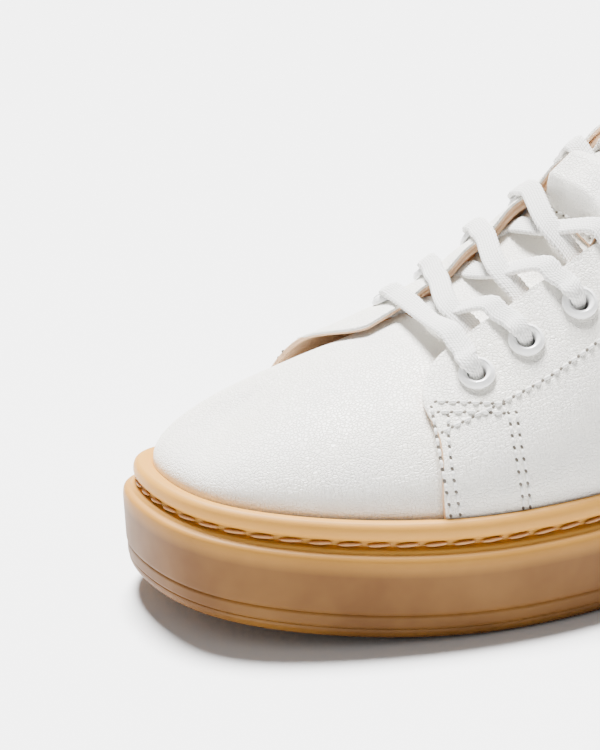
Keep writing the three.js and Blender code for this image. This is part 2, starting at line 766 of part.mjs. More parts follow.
function addTongue() {
  const piece = ([low, high], from, to, rows) => {
    const sheet = (distance) => (u, w) => {
      const across = 2 * w - 1;
      const corner = to > TONGUE.hinge ? 9 * Math.abs(across) ** 3 * u : 0;
      return tonguePoint(mix(from, to, u) - corner, across, distance);
    };
    return slab(sheet(low), sheet(high), rows, 9);
  };
  const layers = [
    ['leather', LAYER.tongueLeather, 'whiteLeather'],
    ['foam', LAYER.tongueFoam, 'foam'],
    ['lining', LAYER.tongueLining, 'tanLining'],
  ];
  layers.forEach(([name, range, finish]) => {
    const rootEnd = TONGUE.hinge - HINGE_GAP;
    add(`tongue_${name}`, piece(range, TONGUE.front, rootEnd, 12), finish);
    add(`tongue_tip_${name}`, piece(range, TONGUE.hinge + HINGE_GAP, TONGUE.top, 5), finish);
  });

  const bridge = (distance) => (u, w) => {
    const arch = KEEPER.lift * Math.min(1, 4.2 * u * (1 - u)) + LAYER.tongueLeather[1] + GAP;
    const station = mix(KEEPER.front, KEEPER.back, u);
    return overFoot(station, TONGUE.centre + (2 * w - 1) * KEEPER.halfWidth, arch + distance);
  };
  add('lace_keeper', slab(bridge(0), bridge(KEEPER.thickness), 9, 5), 'whiteLeather');
}

/** Rolled metal eyelet: a flange ring on the leather and a barrel through the layers. */
function eyeletGeometry() {
  const { flangeRadius, boreRadius, barrelRadius } = EYELETS;
  const seat = LAYER.quarter[1] + 0.4;
  const foot = -3.1;
  const profile = [
    [boreRadius, foot], [barrelRadius, foot], [barrelRadius, seat], [flangeRadius, seat],
    [flangeRadius, seat + 0.7], [flangeRadius - 1, seat + 1.3], [barrelRadius, seat + 1.1],
    [boreRadius, seat + 0.4], [boreRadius, foot],
  ].map(([r, y]) => new THREE.Vector2(r, y));
  const lathe = new THREE.LatheGeometry(profile, 10);
  lathe.deleteAttribute('normal');
  lathe.deleteAttribute('uv');
  return outwardFacing(mergeVertices(lathe, 1e-4));
}

function addEyelets() {
  SIDES.forEach(([name, side]) => {
    for (let i = 0; i < EYELETS.pairs; i += 1) {
      const { centre, normal } = eyeletFrame(i, side);
      aim(add(`eyelet_${name}_${i + 1}`, eyeletGeometry(), 'enamel'), centre, normal);
    }
  });
}

// Heights of the middle of the lace off the base surface of the leather it passes.
const LACE_OVER = LAYER.quarter[1] + GAP + LACE.thickness / 2 + 0.3;
const LACE_UNDER = LAYER.quarterLining[0] - 3 * GAP - LACE.thickness / 2;

/** The lace at one eyelet as [point, width] rows: over the leather, down the bore, out below. */
function throughEyelet(i, side) {
  const { centre, normal } = eyeletFrame(i, side);
  const inward = new THREE.Vector3(-side, 0, 0);
  inward.addScaledVector(normal, -inward.dot(normal)).normalize();
  const along = normal.clone().cross(inward).multiplyScalar(-side);
  const spot = (towardsEdge, height, width) => {
    const point = centre.clone().addScaledVector(inward, towardsEdge);
    return [point.addScaledVector(normal, height), width, along];
  };
  const alongAt = (t, v) => quarter(t + side * 0.006, v).sub(quarter(t - side * 0.006, v)).normalize();
  const onLeather = (fromEdge, height) => {
    const [t, v] = eyestayPlace(eyeletStation(i), side, fromEdge);
    return [offset(quarter, t, v, height), LACE.width, alongAt(t, v)];
  };
  const [edgeT] = eyestayPlace(eyeletStation(i), side, 0);
  const edgeSection = quarterSection(edgeT);
  const pastEdge = edgeSection[3].clone().sub(edgeSection[2]).normalize().multiplyScalar(3.4);
  const offEdge = (height) => (
    [offset(quarter, edgeT, 0.999, height).add(pastEdge), LACE.width, alongAt(edgeT, 1)]
  );
  const above = [
    offEdge(LACE_OVER - 0.5),
    onLeather(1, LACE_OVER),
    onLeather(5.2, LACE_OVER + 0.7),
    spot(4.2, 5, 6.2),
    spot(1.9, 4.5, 4.4),
    spot(0.5, 2.6, LACE.pinched),
    spot(0, 0.2, LACE.pinched),
    spot(0.1, -2.6, LACE.pinched),
  ];
  if (i < EYELETS.pairs - 1) {
    return [
      ...above,
      spot(2.2, LACE_UNDER - 0.5, 5),
      onLeather(6.5, LACE_UNDER),
      onLeather(1, LACE_UNDER),
      offEdge(LACE_UNDER + 0.2),
    ];
  }
  const [t, v] = eyestayPlace(eyeletStation(i), side, EYELETS.fromEdge);
  const tucked = [[0.88, 0.5], [0.76, 0.8], [0.64, 1.2], [0.54, 2.2]].map(([share, deeper]) => (
    [offset(quarter, t, v * share, LACE_UNDER - deeper), LACE.pinched, alongAt(t, v * share)]
  ));
  return [...above, spot(-1.8, LACE_UNDER - 0.7, LACE.pinched), ...tucked];
}

/** The strand over the tongue between pairs i and i + 1, from the outer side to the inner side. */
function crossing(i, onTop) {
  const low = eyeletStation(i);
  const high = eyeletStation(i + 1);
  const strand = (x, share, height) => {
    const station = mix(low, high, share);
    const along = overFoot(station + 2, x, 0).sub(overFoot(station - 2, x, 0)).normalize();
    return [overFoot(station, x, height), LACE.width, along];
  };
  const rising = onTop ? 0.1 : -0.1;
  if (i !== KEEPER_LEVEL) return [strand(TONGUE.centre, 0.5, onTop ? 2.6 : -0.6)];
  return [
    strand(TONGUE.centre + 9, 0.5 - 2.4 * rising, onTop ? -0.2 : -2.2),
    strand(TONGUE.centre, 0.5, onTop ? 0 : -2.7),
    strand(TONGUE.centre - 9, 0.5 + 2.4 * rising, onTop ? 0 : -2.7),
  ];
}

/** A crossing's points in the order met by a strand that leaves a given side. */
const crossingFrom = (i, side, onTop) => (
  side > 0 ? crossing(i, onTop) : crossing(i, onTop).reverse()
);

/**
 * Route of the whole lace: from the end tucked inside the outer quarter down to the straight bar
 * at the toe, and up again to the end tucked inside the inner quarter.  Every strand comes out
 * from under one eyestay and goes over the other one, and those that go over the inner one lie on top.
 */
function laceRoute() {
  const down = [];
  let side = 1;
  for (let i = EYELETS.pairs - 1; i >= 0; i -= 1) {
    down.push(...throughEyelet(i, side).reverse());
    if (i > 0) down.push(...crossingFrom(i - 1, side, side < 0));
    side = -side;
  }
  const up = [];
  side = 1;
  for (let i = 0; i < EYELETS.pairs; i += 1) {
    up.push(...throughEyelet(i, side));
    if (i < EYELETS.pairs - 1) up.push(...crossingFrom(i, side, side > 0));
    side = -side;
  }
  const bar = [overFoot(EYELETS.firstStation + 1, TONGUE.centre, 5), LACE.width, Y_AXIS];
  return [...down, bar, ...up];
}

function addLace() {
  const route = laceRoute();
  const curve = new THREE.CatmullRomCurve3(route.map(([point]) => point), false, 'centripetal');
  const last = route.length - 1;
  const halfSizes = (u) => {
    const i = Math.min(Math.floor(u * last), last - 1);
    return [mix(route[i][1], route[i + 1][1], u * last - i) / 2, LACE.thickness / 2];
  };
  const widthAxis = (u) => {
    const i = Math.min(Math.floor(u * last), last - 1);
    return route[i][2].clone().lerp(route[i + 1][2], u * last - i);
  };
  add('lace', ribbon(curve, Math.round(1.6 * last), 6, halfSizes, widthAxis), 'cotton');

  [['lateral', 0, -1], ['medial', 1, 1]].forEach(([name, end, sign]) => {
    const direction = curve.getTangent(end).multiplyScalar(sign);
    const tip = new THREE.CapsuleGeometry(AGLET.radius, AGLET.length - 2 * AGLET.radius, 3, 10);
    tip.deleteAttribute('normal');
    tip.deleteAttribute('uv');
    const centre = curve.getPoint(end).addScaledVector(direction, AGLET.length / 2 + GAP);
    const solid = outwardFacing(mergeVertices(tip, 1e-4));
    aim(add(`aglet_${name}`, solid, 'clearPlastic'), centre, direction);
  });
}

addSole();
addForefoot();
addQuarters();
addHeel();
addReinforcements();
addTongue();
addEyelets();
addLace();

export default shoe;
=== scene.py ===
"""A white leather court shoe on a stitched gum rubber cup sole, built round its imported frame.

Lengths are in millimetres until a mesh is written.  The toe points to -Y, the outer side of the
foot is +X.  A place along the shoe is its station, the distance from the toe tip.  The upper's
layers all follow one base surface, which is a function of (t, v): t runs round the sole, from the
toe tip (0) by the outer side to the heel (0.5) and back by the inner side (1), and v rises from
the rubber cup (0) to the crest, the eyestay edge or the collar (1).
"""

import logging
import math
from collections.abc import Callable
from dataclasses import dataclass, field
from enum import Enum

import bpy
import numpy as np
from mathutils import Matrix, Vector


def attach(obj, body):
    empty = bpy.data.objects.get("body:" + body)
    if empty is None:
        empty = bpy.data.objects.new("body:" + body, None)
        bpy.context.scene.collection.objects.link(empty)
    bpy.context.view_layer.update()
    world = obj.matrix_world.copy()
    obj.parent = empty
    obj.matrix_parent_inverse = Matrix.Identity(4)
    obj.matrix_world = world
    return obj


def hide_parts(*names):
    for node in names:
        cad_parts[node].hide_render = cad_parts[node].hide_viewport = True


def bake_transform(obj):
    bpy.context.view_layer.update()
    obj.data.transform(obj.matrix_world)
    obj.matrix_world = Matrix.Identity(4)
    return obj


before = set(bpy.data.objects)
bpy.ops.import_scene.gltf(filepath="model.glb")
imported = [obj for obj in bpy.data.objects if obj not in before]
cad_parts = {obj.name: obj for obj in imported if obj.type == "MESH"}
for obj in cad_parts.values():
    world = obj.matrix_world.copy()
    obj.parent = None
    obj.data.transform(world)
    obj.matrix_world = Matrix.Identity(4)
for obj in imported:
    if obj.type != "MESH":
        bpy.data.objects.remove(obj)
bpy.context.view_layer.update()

log = logging.getLogger("court_shoe")

Array = np.ndarray
Pair = tuple[Array, Array]
Curve = Callable[[Array], Array]
Surface = Callable[[Array, Array], Array]
Shape = tuple[Array, list[Array]]
Piece = bpy.types.Object
Node = bpy.types.Node
Socket = bpy.types.NodeSocket
MM = 0.001  # metres in a millimetre
SEAM_LIFT = 0.02  # how far a seam's path stands off the leather
SPLINE_ROUNDS = 40  # corrections after which a spline meets its points


class Side(Enum):
    """The two sides of the foot: the outer side is lateral, the inner side medial."""

    LATERAL = 1
    MEDIAL = -1

    @property
    def word(self) -> str:
        """The side's name in node names."""
        return self.name.lower()


# ------ curves and small helpers

def mix(a: Array | float, b: Array | float, u: Array | float) -> Array:
    """Straight blend from a to b as u goes from 0 to 1."""
    return a + (b - a) * u


def ease(value: Array | float, start: float, end: float) -> Array:
    """Smooth step: 0 before start, 1 after end, u * u * (3 - 2 * u) between."""
    u = np.clip((np.asarray(value, float) - start) / (end - start), 0.0, 1.0)
    return u * u * (3 - 2 * u)


def unit(vectors: Array) -> Array:
    """Vectors divided by their lengths."""
    return vectors / np.maximum(np.linalg.norm(vectors, axis=-1, keepdims=True), 1e-12)


def vec(*parts: Array | float) -> Array:
    """Coordinates stacked into points, broadcast together."""
    return np.stack(np.broadcast_arrays(*[np.asarray(p, float) for p in parts]), axis=-1)


def closed_spline(points: list[tuple[float, float]]) -> Curve:
    """Smooth closed curve through points: a uniform cubic B-spline that meets each of them.

    The control points come from repeated correction: 1.5 times the point less a quarter of the
    two neighbouring controls.

    Args:
        points: the [x, station] pairs in order.

    Returns:
        A function of the parameter (0 to 1 once round) that gives points.
    """
    given = np.array(points, float)
    control = given.copy()
    for _ in range(SPLINE_ROUNDS):
        control = 1.5 * given - 0.25 * (np.roll(control, 1, axis=0) + np.roll(control, -1, axis=0))
    count = len(given)

    def curve(t: Array) -> Array:
        """The point at a parameter.

        Args:
            t: parameters.

        Returns:
            Points, one for each parameter.
        """
        place = (np.asarray(t, float) % 1.0) * count
        i = np.floor(place).astype(int)
        u = place - i
        weights = [(1 - u) ** 3, 3 * u ** 3 - 6 * u ** 2 + 4,
                   -3 * u ** 3 + 3 * u ** 2 + 3 * u + 1, u ** 3]
        parts = [(w / 6)[..., None] * control[(i + k - 1) % count] for k, w in enumerate(weights)]
        return sum(parts)

    return curve


def through_rows(rows: list[tuple[float, ...]], column: int) -> Curve:
    """Smooth function through (place, value) rows: cubic pieces whose slopes are averaged.

    Args:
        rows: the rows, in order of place.
        column: which column holds the value.

    Returns:
        A function of the place.
    """
    table = np.array(rows, float)
    place, value = table[:, 0], table[:, column]
    before = np.maximum(np.arange(len(place)) - 1, 0)
    after = np.minimum(np.arange(len(place)) + 1, len(place) - 1)
    slope = (value[after] - value[before]) / (place[after] - place[before])

    def curve(where: Array) -> Array:
        """The value at a place.

        Args:
            where: places.

        Returns:
            The values there.
        """
        where = np.asarray(where, float)
        i = np.clip(np.searchsorted(place, where, side="left") - 1, 0, len(place) - 2)
        span = place[i + 1] - place[i]
        u = (where - place[i]) / span
        rise = value[i + 1] - value[i]
        cubic = (slope[i] + slope[i + 1]) * span - 2 * rise
        square = 3 * rise - (2 * slope[i] + slope[i + 1]) * span
        return value[i] + slope[i] * span * u + square * u ** 2 + cubic * u ** 3

    return curve


def along_path(points: Array, spacing: float) -> tuple[Array, float]:
    """Parameters 0..1 that share a polyline out evenly.

    Args:
        points: the polyline's points.
        spacing: the wished distance between places.

    Returns:
        The fractional index of each place, and the polyline's length.
    """
    steps = np.linalg.norm(np.diff(points, axis=0), axis=-1)
    walked = np.concatenate([[0.0], np.cumsum(steps)])
    count = max(2, int(round(walked[-1] / spacing)) + 1)
    return np.interp(np.linspace(0, walked[-1], count), walked, np.arange(len(points))), walked[-1]


def halve(further: Curve, shape: tuple, rounds: int) -> Array:
    """Place between 0 and 1 up to which a test holds, by halving the interval.

    Args:
        further: test of whether the wished place lies past a place.
        shape: shape of the array of places.
        rounds: how often the interval is halved.

    Returns:
        The places.
    """
    low, high = np.zeros(shape), np.ones(shape)
    for _ in range(rounds):
        middle = (low + high) / 2
        past = further(middle)
        low, high = np.where(past, middle, low), np.where(past, high, middle)
    return low


def at_index(rows: Array, index: Array) -> Array:
    """Rows read at fractional indices, straight between neighbours."""
    low = np.clip(np.floor(index).astype(int), 0, len(rows) - 2)
    share = (index - low).reshape((-1,) + (1,) * (rows.ndim - 1))
    return rows[low] * (1 - share) + rows[low + 1] * share


def catmull_rom(points: Array, per_span: int) -> Array:
    """Centripetal Catmull-Rom curve through points.

    Between two points the curve blends straight lines whose knots are spaced by the square root
    of the distance between the points, with the end points repeated by reflection.

    Args:
        points: the points passed, in order.
        per_span: how many places each span gets.

    Returns:
        The places, the last point included.
    """
    ends = [2 * points[:1] - points[1:2], points, 2 * points[-1:] - points[-2:-1]]
    p = np.concatenate(ends)
    knot = np.concatenate([[0], np.cumsum(np.sqrt(np.linalg.norm(np.diff(p, axis=0), axis=1)))])
    u = np.arange(per_span) / per_span
    a, b, c, d = (knot[k:len(knot) - 3 + k][:, None, None] for k in range(4))
    pa, pb, pc, pd = (p[k:len(p) - 3 + k][:, None, :] for k in range(4))
    x = b + (c - b) * u[None, :, None]
    ab = (pa * (b - x) + pb * (x - a)) / (b - a)
    bc = (pb * (c - x) + pc * (x - b)) / (c - b)
    cd = (pc * (d - x) + pd * (x - c)) / (d - c)
    left = (ab * (c - x) + bc * (x - a)) / (c - a)
    right = (bc * (d - x) + cd * (x - b)) / (d - b)
    curve = (left * (c - x) + right * (x - b)) / (c - b)
    return np.concatenate([curve.reshape(-1, 3), points[-1:]])


# ------ the shoe's form

@dataclass(frozen=True)
class Last:
    """The form that the sole and the upper follow, with its sizes in millimetres."""

    length: float = 300.0
    spring: float = 8.9
    spring_start: float = 85.0
    rim_top: float = 31.0
    feather: float = 9.0
    filler_toe: float = 12.0
    filler_heel: float = 18.0
    gap: float = 0.3
    tuck: float = 1.0
    axis: float = 3.0
    collar_inset: float = 12.5
    samples: int = 1501
    plan: tuple = (
        (-9, 0), (18, 6), (38, 29), (53, 65), (58.5, 104), (54.5, 145), (46, 185), (41, 222),
        (39.5, 256), (30, 287), (0, 300), (-30, 287), (-39, 256), (-38, 222), (-35, 185),
        (-39, 145), (-48, 104), (-53, 65), (-48.5, 30), (-35, 7),
    )
    spine: tuple = (
        (30, -13, 50), (42, -13, 57), (60, -12.5, 63), (78, -12, 67.5), (92, -12, 72.5),
        (105, -11.5, 79.5), (120, -11, 88.5), (135, -10.5, 98), (150, -10, 108), (165, -9.5, 117),
        (180, -9, 124.5), (200, -9, 133),
    )
    collar: tuple = (
        (150, 124), (172, 116), (190, 100), (205, 86), (222, 75), (240, 69.5), (258, 71),
        (275, 78), (300, 88),
    )
    outline: Curve = field(init=False)
    spine_x: Curve = field(init=False)
    spine_z: Curve = field(init=False)
    collar_z: Curve = field(init=False)

    def __post_init__(self) -> None:
        """Makes the smooth curves from the rows."""
        object.__setattr__(self, "outline", closed_spline(list(self.plan)))
        object.__setattr__(self, "spine_x", through_rows(list(self.spine), 1))
        object.__setattr__(self, "spine_z", through_rows(list(self.spine), 2))
        object.__setattr__(self, "collar_z", through_rows(list(self.collar), 1))

    def lift(self, station: Array) -> Array:
        """Height that the toe spring adds: a parabola that ends at spring_start."""
        return self.spring * np.clip((self.spring_start - station) / self.spring_start, 0, 1) ** 2

    def outward(self, t: Array) -> Array:
        """Unit vector out of the sole outline, in plan, from the difference of two points."""
        step = 1e-3
        along = self.outline(np.asarray(t) + step) - self.outline(np.asarray(t) - step)
        return unit(vec(along[..., 1], -along[..., 0]))

    def inset(self, t: Array, distance: Array | float) -> Array:
        """Point a distance inside the outline, in plan."""
        return self.outline(t) - self.outward(t) * np.asarray(distance, float)[..., None]

    def to_middle(self, t: Array, distance: Array, share: Array) -> Array:
        """Plan points inside the outline, drawn to the middle line.

        The middle of a point is halfway to the point of the same inset at 1 - t.

        Args:
            t: outline parameters, shape (steps, 1).
            distance: insets, shape (steps, columns).
            share: how near to the middle line each column lies, 0 to 1.

        Returns:
            Points of shape (steps, columns, 2).
        """
        plan = self.inset(np.broadcast_to(t, distance.shape), distance)
        across = self.inset(np.broadcast_to(1 - t, distance.shape), distance)
        return mix(plan, (plan + across) / 2, share[None, :, None])

    def place(self, x: Array | float, station: Array | float, z: Array | float) -> Array:
        """Point of the row frame, in millimetres, from x, station and height."""
        return vec(x, np.asarray(station, float) - self.length / 2, z)

    def half_at(self, station: Array, side: Array) -> Array:
        """Half parameter (0 at the toe, 0.5 at the heel) whose feather point is at a station.

        Args:
            station: stations.
            side: above 0 outer, else inner.

        Returns:
            The half parameters.
        """
        half = np.linspace(0, 0.5, self.samples)
        outer = self.inset(half, self.feather)[:, 1]
        inner = self.inset(1 - half, self.feather)[:, 1]
        return np.where(np.asarray(side) > 0, np.interp(station, outer, half),
                        np.interp(station, inner, half))

    def parameter(self, station: Array, side: Array) -> Array:
        """Parameter t on a side at a feather station."""
        half = self.half_at(station, side)
        return np.where(np.asarray(side) > 0, half, 1 - half)

    @staticmethod
    def crest_station(station: Array) -> Array:
        """Station where the section that rises from a feather station meets the crest."""
        return station + 30 * np.clip(1 - (station - 8) / 92, 0, 1) ** 1.5

    def feather_station(self, crest: Array) -> Array:
        """Feather station whose section meets the crest at a given station."""
        rows = np.linspace(-10, 210, 2201)
        return np.interp(crest, self.crest_station(rows), rows)

    def filler_top(self, station: Array) -> Array:
        """Height of the foam under the foot, lower at the toe."""
        return mix(self.filler_toe, self.filler_heel, ease(station, 90, 210))

    # -- sections

    def forefoot_section(self, t: Array) -> Array:
        """Four cubic control points of a section over the forefoot.

        From the feather point the section rises nearly upright for a share of its height and
        comes level at the crest, drawn out along the plan's normal.

        Args:
            t: outline parameters of any shape.

        Returns:
            Points of shape (..., 4, 3).
        """
        t = np.asarray(t, float)
        plan = self.inset(t, self.feather)
        station = plan[..., 1]
        foot = self.place(plan[..., 0], station, self.rim_top - 1 + self.lift(station))
        top = self.crest_station(station)
        crest = self.place(self.spine_x(top), top, self.spine_z(top))
        out = self.outward(t)
        slope = (self.spine_z(top + 2) - self.spine_z(top - 2)) / 4
        outer = t < 0.5
        past = ease(station, 10, 60)
        wall_rise = mix(0.55, np.where(outer, 0.55, 0.7), past)
        span = np.hypot(crest[..., 0] - foot[..., 0], crest[..., 1] - foot[..., 1])
        reach = mix(0.53, np.where(outer, 0.45, 0.78), past) * span
        rise = crest[..., 2] - foot[..., 2]
        wall = foot + vec(out[..., 0], out[..., 1], rise * wall_rise)
        shoulder = crest + vec(out[..., 0], out[..., 1], out[..., 1] * slope) * reach[..., None]
        return np.stack([foot, wall, shoulder, crest], axis=-2)

    def ankle_section(self, t: Array) -> Array:
        """Control points of a section round the ankle, up to the collar's edge.

        Args:
            t: outline parameters.

        Returns:
            Points of shape (..., 4, 3).
        """
        plan = self.inset(t, self.feather)
        station = plan[..., 1]
        foot = self.place(plan[..., 0], station, self.rim_top - 1 + self.lift(station))
        out = self.outward(t)
        height = self.collar_z(station + self.feather * ease(station, 260, 290))
        top = self.inset(t, self.collar_inset)
        edge = self.place(top[..., 0], top[..., 1], height)
        rise = edge[..., 2] - foot[..., 2]
        wall = foot + vec(out[..., 0], out[..., 1], rise * 0.35)
        lean = edge + vec(out[..., 0] * 3.2, out[..., 1] * 3.2, -rise * 0.38)
        return np.stack([foot, wall, lean, edge], axis=-2)

    @staticmethod
    def bezier(p: Array, v: Array) -> Array:
        """Point of a cubic with control points p at v, as nested straight blends' closed form.

        Args:
            p: control points, shape (..., 4, 3).
            v: places from 0 to 1.

        Returns:
            Points of shape (..., 3).
        """
        v = np.asarray(v, float)[..., None]
        u = 1 - v
        return (p[..., 0, :] * u ** 3 + p[..., 1, :] * 3 * u * u * v
                + p[..., 2, :] * 3 * u * v * v + p[..., 3, :] * v ** 3)

    def reach_x(self, p: Array, x: Array, side: Array) -> Array:
        """Place v on sections p where they reach a given x, by halving the interval."""
        shape = np.broadcast_shapes(p.shape[:-2], np.shape(x))
        return halve(lambda v: (self.bezier(p, v)[..., 0] - x) * side > 0, shape, 24)

    @staticmethod
    def edge_x(station: Array, side: Array) -> Array:
        """x of the eyestay's edge at a station."""
        return np.where(side > 0, 18 + 0.04 * (station - 90), -(13 + 0.05 * (station - 90)))

    @staticmethod
    def proud(station: Array, side: Array) -> Array:
        """How far a quarter's edge stands off the foot at a feather station."""
        outer = 1 + 5 * ease(station, 66, 96)
        inner = 0.8 + 0.8 * ease(station, 56, 84) + 2 * ease(station, 90, 165)
        return np.where(side > 0, outer, inner)

    def quarter_section(self, t: Array) -> Array:
        """Control points of a quarter's section: to the eyestay in front, the collar behind.

        The forefoot section is cut where it reaches the eyestay's edge (De Casteljau's halving
        at that place), its edge is raised off the foot, and towards the heel it is blended with
        the ankle's section.

        Args:
            t: outline parameters.

        Returns:
            Points of shape (..., 4, 3).
        """
        t = np.asarray(t, float)
        side = np.where(t < 0.5, 1.0, -1.0)
        station = self.inset(t, self.feather)[..., 1]
        whole = self.forefoot_section(t)
        cut = self.reach_x(whole, self.edge_x(np.clip(station, 60, 175), side), side)[..., None]
        a, b, c = (mix(whole[..., k, :], whole[..., k + 1, :], cut) for k in range(3))
        d, e = mix(a, b, cut), mix(b, c, cut)
        front = np.stack([whole[..., 0, :], a, d, mix(d, e, cut)], axis=-2)
        proud = self.proud(station, side)
        front[..., 2, 2] += proud * 0.45
        front[..., 3, 2] += proud
        return mix(front, self.ankle_section(t), ease(station, 174, 208)[..., None, None])

    def on_section(self, p: Array, t: Array, v: Array) -> Array:
        """Point of a section; below v = 0 it runs down inside the rubber cup.

        Args:
            p: control points of the sections.
            t: outline parameters.
            v: heights, 0 at the feather point and 1 at the top.

        Returns:
            Points of shape (..., 3).
        """
        t, v = np.broadcast_arrays(np.asarray(t, float), np.asarray(v, float))
        above = self.bezier(p, np.maximum(v, 0))
        down = np.minimum(v, 0)
        out = self.outward(t)
        foot = p[..., 0, :]
        station = foot[..., 1] + self.length / 2
        bottom = self.filler_top(station) + self.gap + self.lift(station)
        drop = vec(out[..., 0] * self.tuck * down, out[..., 1] * self.tuck * down,
                   (bottom - foot[..., 2]) * -down)
        return above + drop

    def forefoot(self, t: Array, v: Array) -> Array:
        """Base surface over the toe and forefoot."""
        return self.on_section(self.forefoot_section(t), t, v)

    def quarter(self, t: Array, v: Array) -> Array:
        """Base surface of the quarters."""
        return self.on_section(self.quarter_section(t), t, v)

    def normal(self, surface: Surface, t: Array, v: Array) -> Array:
        """Outward unit normal of a surface, by differences.

        Args:
            surface: a function of (t, v).
            t: outline parameters.
            v: heights.

        Returns:
            Unit vectors.
        """
        step = 2e-3
        t, v = np.broadcast_arrays(np.asarray(t, float), np.asarray(v, float))
        sign = np.where(v > 0.97, -1.0, 1.0)
        along = surface(t + step, v) - surface(t - step, v)
        up = (surface(t, v + sign * step) - surface(t, v)) * sign[..., None]
        return unit(np.cross(along, up))

    def skin(self, surface: Surface, t: Array, v: Array) -> Pair:
        """Points of a surface and its normals there."""
        return surface(t, v), self.normal(surface, t, v)

    def offset(self, surface: Surface, t: Array, v: Array, distance: Array | float) -> Array:
        """Point of a surface moved along its normal."""
        points, normals = self.skin(surface, t, v)
        shape = np.broadcast_shapes(np.shape(t), np.shape(v))
        return points + normals * np.broadcast_to(np.asarray(distance, float), shape)[..., None]

    def over_foot(self, station: Array, x: Array, distance: Array | float) -> Array:
        """Point over the foot at a crest station and x, a distance off the base surface.

        Args:
            station: stations at the crest.
            x: places across.
            distance: how far outwards.

        Returns:
            Points of shape (..., 3).
        """
        station, x = np.broadcast_arrays(np.asarray(station, float), np.asarray(x, float))
        side = np.where(x < self.spine_x(station), -1.0, 1.0)
        t = self.parameter(self.feather_station(station), side)
        v = np.minimum(self.reach_x(self.forefoot_section(t), x, side), 0.999)
        return self.offset(self.forefoot, t, v, distance)

    def quarter_place(self, station: Array, height: Array, side: float) -> Pair:
        """Parameters (t, v) of the quarter's point at a station and height.

        The feather station is corrected by the miss in station, and v is found by halving.

        Args:
            station: stations of the points.
            height: heights of the points.
            side: 1 for the outer side, -1 for the inner side.

        Returns:
            The parameters t and v.
        """
        station, height = (np.asarray(a, float) for a in np.broadcast_arrays(station, height))
        feather = station.copy()
        for _ in range(5):
            t = self.parameter(feather, side)
            section = self.quarter_section(t)
            v = halve(lambda v: self.bezier(section, v)[..., 2] < height, station.shape, 22)
            feather = feather + station - (self.bezier(section, v)[..., 1] + self.length / 2)
        return t, v


LAST = Last()


# ------ meshes

def in_scene(name: str, data: bpy.types.ID) -> Piece:
    """New object of some data, linked to the scene."""
    piece = bpy.data.objects.new(name, data)
    bpy.context.scene.collection.objects.link(piece)
    return piece


def build_mesh(name: str, points: Array, faces: list[Array], marks: dict[str, Array] | None = None,
               crease: float = 50.0) -> Piece:
    """Mesh object from arrays, with its faces turned outwards by the sign of its volume.

    Args:
        name: the object's name.
        points: vertex places in millimetres, shape (n, 3).
        faces: arrays of vertex indices, one array for each number of corners.
        marks: named per-vertex values; a value of three numbers is stored as a vector.
        crease: angle in degrees past which an edge is drawn sharp.

    Returns:
        The new object, linked to the scene.
    """
    volume = 0.0
    for group in faces:
        first = points[group[:, 0]]
        for k in range(1, group.shape[1] - 1):
            fan = np.cross(points[group[:, k]], points[group[:, k + 1]])
            volume += float(np.einsum("ij,ij->", first, fan))
    if volume < 0:
        faces = [group[:, ::-1] for group in faces]
    mesh = bpy.data.meshes.new(name)
    corners = np.concatenate([group.ravel() for group in faces]).astype(np.int32)
    sizes = np.concatenate([np.full(len(group), group.shape[1]) for group in faces])
    starts = np.concatenate([[0], np.cumsum(sizes)[:-1]]).astype(np.int32)
    mesh.vertices.add(len(points))
    mesh.vertices.foreach_set("co", (points * MM).astype(np.float32).ravel())
    mesh.loops.add(len(corners))
    mesh.loops.foreach_set("vertex_index", corners)
    mesh.polygons.add(len(sizes))
    mesh.polygons.foreach_set("loop_start", starts)
    mesh.update(calc_edges=True)
    for label, values in (marks or {}).items():
        kind = "FLOAT_VECTOR" if values.ndim == 2 else "FLOAT"
        layer = mesh.attributes.new(label, kind, "POINT")
        label = "vector" if values.ndim == 2 else "value"
        layer.data.foreach_set(label, values.astype(np.float32).ravel())
    mesh.shade_smooth()
    mesh.set_sharp_from_angle(angle=math.radians(crease))
    return in_scene(name, mesh)


def grid_faces(rows: int, columns: int, around: bool = False) -> Array:
    """Quads of a rows x columns net of points; around joins the last column to the first.

    Args:
        rows: rows of points.
        columns: points in a row.
        around: whether a row closes on itself.

    Returns:
        Indices, shape (n, 4).
    """
    last = columns if around else columns - 1
    r, c = np.meshgrid(np.arange(rows - 1), np.arange(last), indexing="ij")
    a, b = r * columns + c, r * columns + (c + 1) % columns
    return np.stack([a, b, b + columns, a + columns], axis=-1).reshape(-1, 4)


def slab(outer: Array, inner: Array, keep: Array | None = None,
         fold: bool = False) -> Shape:
    """Closed sheet between an outer and an inner net of points of the same size.

    Every edge that only one kept face uses gets a wall between the nets.

    Args:
        outer: points of shape (rows, columns, 3), with any marks in further numbers.
        inner: points of the same shape.
        keep: which quads are kept, shape (rows - 1, columns - 1), or None for all.
        fold: joins the first row on itself, end to end, where both its halves lie together.

    Returns:
        The points and the face arrays.
    """
    rows, columns = outer.shape[:2]
    number = np.arange(rows * columns).reshape(rows, columns)
    if fold:
        number[0] = np.minimum(number[0], number[0][::-1])
    quads = number.ravel()[grid_faces(rows, columns)]
    if keep is not None:
        quads = quads[keep.ravel()]
    starts, ends = quads.ravel(), np.roll(quads, -1, axis=1).ravel()
    size = rows * columns
    single = ~np.isin(starts.astype(np.int64) * size + ends, ends.astype(np.int64) * size + starts)
    a, b = starts[single], ends[single]
    walls = np.stack([b, a, a + size, b + size], axis=-1)
    points = np.concatenate([outer.reshape(size, -1), inner.reshape(size, -1)])
    return compact(points, [np.concatenate([quads, quads[:, ::-1] + size, walls])])


